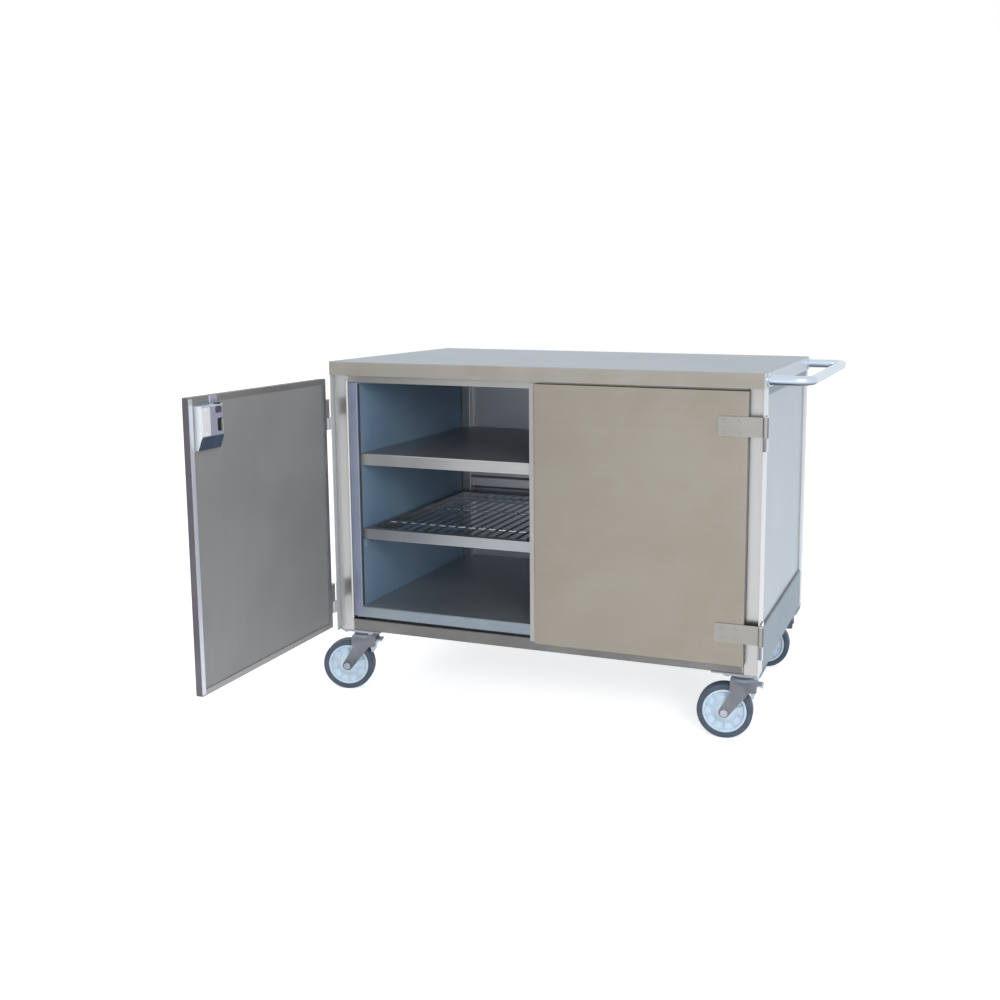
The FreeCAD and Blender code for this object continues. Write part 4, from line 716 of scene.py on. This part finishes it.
finish_piece("frame_weld_beads", mesh, "cabinet", "weld", 1.2)

mesh = bmesh.new()
collar_low, collar_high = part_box("handle_rosettes")
for y in (collar_low.y + 0.019, collar_high.y - 0.019):
    centre = Vector((worktop_high.x, y, (collar_low.z + collar_high.z) / 2))
    ring = [2 * math.pi * i / 108 for i in range(109)]
    points = [centre + Vector((0, 0.0184 * math.cos(a), 0.0184 * math.sin(a))) for a in ring]
    add_bead(mesh, points, [Vector((1, 0, 0))] * len(points), 0.0012, 0.0008)
finish_piece("handle_weld_rings", mesh, "cabinet", "weld", 1.2)

# %% [markdown]
# ## Dark strips behind the jambs
# Just behind each jamb a dark rubber strip lies along the lining as painted shade for the shadow gap between
# jamb and lining, and the shut door's edge stays clear of it. In the doorway it reads as the thin dark line
# beside the bright jamb.

# %% Dark strips along the linings, as painted shade
mesh = bmesh.new()
for x, out in ((77.0, 1), (width - 77.0, -1)):
    add_plate(mesh, at(x, 29.0, 602.0), Vector((0, out, 0)), rise, 0.0052, 0.328, 0.0016, 0.0012)
finish_piece("jamb_shadow_strips", mesh, "cabinet", "grip")

# %% [markdown]
# ## Rivets inside and behind
# The shelf ledges are riveted to the linings, and the back wall to its frame, in even rows. They are
# what a caterer sees on the real cart when the doors are open or when it is turned round.

# %% Ledge and back wall rivets
places = []
for top in (725.0, 472.0):
    for y in (70.0, 180.0, 290.0, 400.0, 510.0, 620.0, 680.0):
        places.append((at(79.0, y, top - 15.0), Vector((1, 0, 0))))
        places.append((at(width - 79.0, y, top - 15.0), Vector((-1, 0, 0))))
turned_row("ledge_rivets", rivet_head, places, "cabinet", "bright", 12)
places = []
back_face, rivet_margin, lowest, highest = 724.0, 56.0, 290.0, 910.0
behind = Vector((0, 1, 0))
for i in range(9):
    z = lowest + i * (highest - lowest) / 8
    places += [(at(x, back_face, z), behind) for x in (rivet_margin, width - rivet_margin)]
for i in range(1, 12):
    x = rivet_margin + i * (width - 2 * rivet_margin) / 12
    places += [(at(x, back_face, z), behind) for z in (lowest, highest)]
turned_row("back_wall_rivets", rivet_head, places, "cabinet", "bright", 12)

# %% [markdown]
# ## Casters
# A pressed caster has a dark seal round its ball race, a nylon insert in the axle nut, and ribs that
# stiffen the moulded wheel between hub and rim. The brake pedal has four plated ridges. Every caster
# is swivelled a little differently, so these are placed from each caster's own joints.

# %% Seals, nut inserts, ribs and pedal grips
hub_radius, rim_radius, web_half = 0.0225, 0.0525, 0.007
rib_count = 10
for caster in CASTERS:
    swivel = Vector(joints[f"{caster}_swivel_turn"]["pos_m"])
    spin = joints[f"{caster}_wheel_spin"]
    axle_centre, axle = Vector(spin["pos_m"]), Vector(spin["axis"])
    mesh = bmesh.new()
    seal = millimetres([(30.5, 7.0), (31.4, 7.4), (31.9, 8.6), (31.4, 9.8), (30.5, 10.2)])
    add_turned(mesh, seal, facing(swivel, Vector((0, 0, 1))), 48)
    finish_piece(f"{caster}_race_seal", mesh, f"{caster}_swivel", "grip")
    insert = millimetres([(5.9, 0), (5.9, 1.3), (7.2, 1.5), (8.0, 0.9), (8.3, -0.2)])
    nut_face = (axle_centre + axle * 0.034, axle)
    turned_row(f"{caster}_nut_insert", insert, [nut_face], f"{caster}_swivel", "nylon", 24)
    mesh = bmesh.new()
    for side in (-1, 1):
        for i in range(rib_count):
            spoke = Matrix.Rotation(2 * math.pi * i / rib_count, 3, axle) @ Vector((0, 0, 1))
            across = spoke.cross(axle)
            corners = []
            for radius, face in ((hub_radius - 0.002, 0.0165), (0.036, 0.0118), (rim_radius, 0.0135)):
                for half, drop in ((0.0016, 0.0), (0.0011, 1.0)):
                    height = face if drop else web_half - 0.0004
                    for s in (-1, 1):
                        corner = spoke * radius + across * (s * half) + axle * (side * height)
                        corners.append(axle_centre + corner)
            verts = [mesh.verts.new(c) for c in corners]
            for k in (0, 4):
                low_a, low_b, top_a, top_b = verts[k : k + 4]
                next_low_a, next_low_b, next_top_a, next_top_b = verts[k + 4 : k + 8]
                mesh.faces.new((low_a, top_a, next_top_a, next_low_a))
                mesh.faces.new((top_a, top_b, next_top_b, next_top_a))
                mesh.faces.new((top_b, low_b, next_low_b, next_top_b))
                mesh.faces.new((low_b, low_a, next_low_a, next_low_b))
            mesh.faces.new((verts[0], verts[1], verts[3], verts[2]))
            mesh.faces.new((verts[8], verts[10], verts[11], verts[9]))
    finish_piece(f"{caster}_wheel_ribs", mesh, f"{caster}_roller", "wheel_core")
    if f"{caster}_brake_press" in joints:
        press = joints[f"{caster}_brake_press"]
        pivot, pin = Vector(press["pos_m"]), Vector(press["axis"])
        ahead = pin.cross(Vector((0, 0, 1)))
        ridge = millimetres([(0, -14.0), (1.1, -13.4), (1.3, -12.6), (1.3, 12.6), (1.1, 13.4), (0, 14.0)])
        ridges = [(pivot + ahead * (0.008 + 0.0048 * i) + Vector((0, 0, 0.0092)), pin) for i in range(4)]
        turned_row(f"{caster}_pedal_grip", ridge, ridges, f"{caster}_brake", "zinc", 12)
print("casters dressed:", ", ".join(CASTERS))

# %% [markdown]
# ## Camera
# The camera stands where the photograph was taken from: the cabinet's corners, door edges and shelf
# lines were fitted to a pinhole camera, and its place, turn and lens are written here. The small shift
# puts the lens axis where the fit found it.

# %% Set the camera
yaw, pitch, roll = 0.3263, 0.1406, 0.0037
forward = Vector((-math.sin(yaw) * math.cos(pitch), math.cos(yaw) * math.cos(pitch), -math.sin(pitch)))
level_right = Vector((math.cos(yaw), math.sin(yaw), 0))
level_up = level_right.cross(forward)
right = level_right * math.cos(roll) + level_up * math.sin(roll)
up = level_up * math.cos(roll) - level_right * math.sin(roll)
camera_data = bpy.data.cameras.new("studio_camera")
camera_data.sensor_width = 36.0
camera_data.lens = 39.786
camera_data.shift_x = -0.1033
camera_data.shift_y = -0.0558
camera_data.clip_end = 60.0
camera = bpy.data.objects.new("studio_camera", camera_data)
bpy.context.scene.collection.objects.link(camera)
camera_place = at(1768.1, -2756.9, 1207.4)
camera.matrix_world = Matrix.Translation(camera_place) @ Matrix((right, up, -forward)).transposed().to_4x4()
bpy.context.scene.camera = camera
print("camera at", [round(v, 3) for v in camera_place], "lens", camera_data.lens)

# %% [markdown]
# ## Studio
# A pale floor carries the cart's soft shadow, and the white surround is what the camera, and the
# steel's reflections, see. The light on the cart itself stays plain: one large soft lamp from the
# right front, a weaker one from the upper left, and an even fill from the world.

# %% Floor
WHITE, FLOOR_GLOW = (1.0, 1.0, 1.0, 1.0), 0.6

def seen_rays(tree):
    """1 for rays from the camera and for mirrored or see-through ones, and 0 for the light's own rays."""
    path = add_node(tree, "ShaderNodeLightPath")
    seen = maths(tree, "ADD", path.outputs["Is Camera Ray"], path.outputs["Is Glossy Ray"], clamp=True)
    return maths(tree, "ADD", seen, path.outputs["Is Transmission Ray"], clamp=True)

floor_mesh = bmesh.new()
bmesh.ops.create_grid(floor_mesh, x_segments=8, y_segments=8, size=14.0)
floor_data = bpy.data.meshes.new("studio_floor")
floor_mesh.to_mesh(floor_data)
floor_mesh.free()
floor = bpy.data.objects.new("studio_floor", floor_data)
bpy.context.scene.collection.objects.link(floor)
floor_paint = bpy.data.materials.new("Pale studio floor")
floor_paint.use_nodes = True
tree = floor_paint.node_tree
floor_shader = tree.nodes["Principled BSDF"]
floor_shader.inputs["Base Color"].default_value = (0.94, 0.94, 0.94, 1.0)
floor_shader.inputs["Roughness"].default_value = 0.9
floor_shader.inputs["Specular IOR Level"].default_value = 0.1
seen = seen_rays(tree)
glow_strength = maths(tree, "MULTIPLY", seen, FLOOR_GLOW)
glow = add_node(tree, "ShaderNodeEmission", Color=WHITE, Strength=glow_strength)
lit = add_node(tree, "ShaderNodeAddShader", i0=floor_shader.outputs["BSDF"], i1=glow.outputs["Emission"])
tree.links.new(lit.outputs["Shader"], tree.nodes["Material Output"].inputs["Surface"])
floor_data.materials.append(floor_paint)

# %% World and lamps
world = bpy.data.worlds.new("Studio surround")
bpy.context.scene.world = world
world.use_nodes = True
tree = world.node_tree
seen = seen_rays(tree)
fill = tree.nodes["Background"]
fill.inputs["Color"].default_value = (0.94, 0.97, 1.0, 1.0)
fill.inputs["Strength"].default_value = 0.62
white = add_node(tree, "ShaderNodeBackground", Color=WHITE, Strength=1.0)
surround = add_node(
    tree, "ShaderNodeMixShader", i0=seen, i1=fill.outputs["Background"], i2=white.outputs["Background"]
)
tree.links.new(surround.outputs["Shader"], tree.nodes["World Output"].inputs["Surface"])


def soft_lamp(name, place, target, size, power, colour):
    data = bpy.data.lights.new(name, "AREA")
    data.shape = "DISK"
    data.size = size
    data.energy = power
    data.color = colour
    lamp = bpy.data.objects.new(name, data)
    bpy.context.scene.collection.objects.link(lamp)
    lamp.matrix_world = facing(Vector(place), Vector(place) - Vector(target))
    print(name, "at", place, "size", size, "m, power", power, "W")


soft_lamp("key_lamp", (2.6, -3.6, 2.3), (-0.3, -0.1, 0.5), 2.2, 95.0, (0.96, 0.98, 1.0))
soft_lamp("left_lamp", (-2.6, -3.0, 3.4), (0.1, 0.2, 0.5), 2.4, 30.0, (1.0, 0.97, 0.93))
bpy.context.scene.view_settings.view_transform = "Standard"
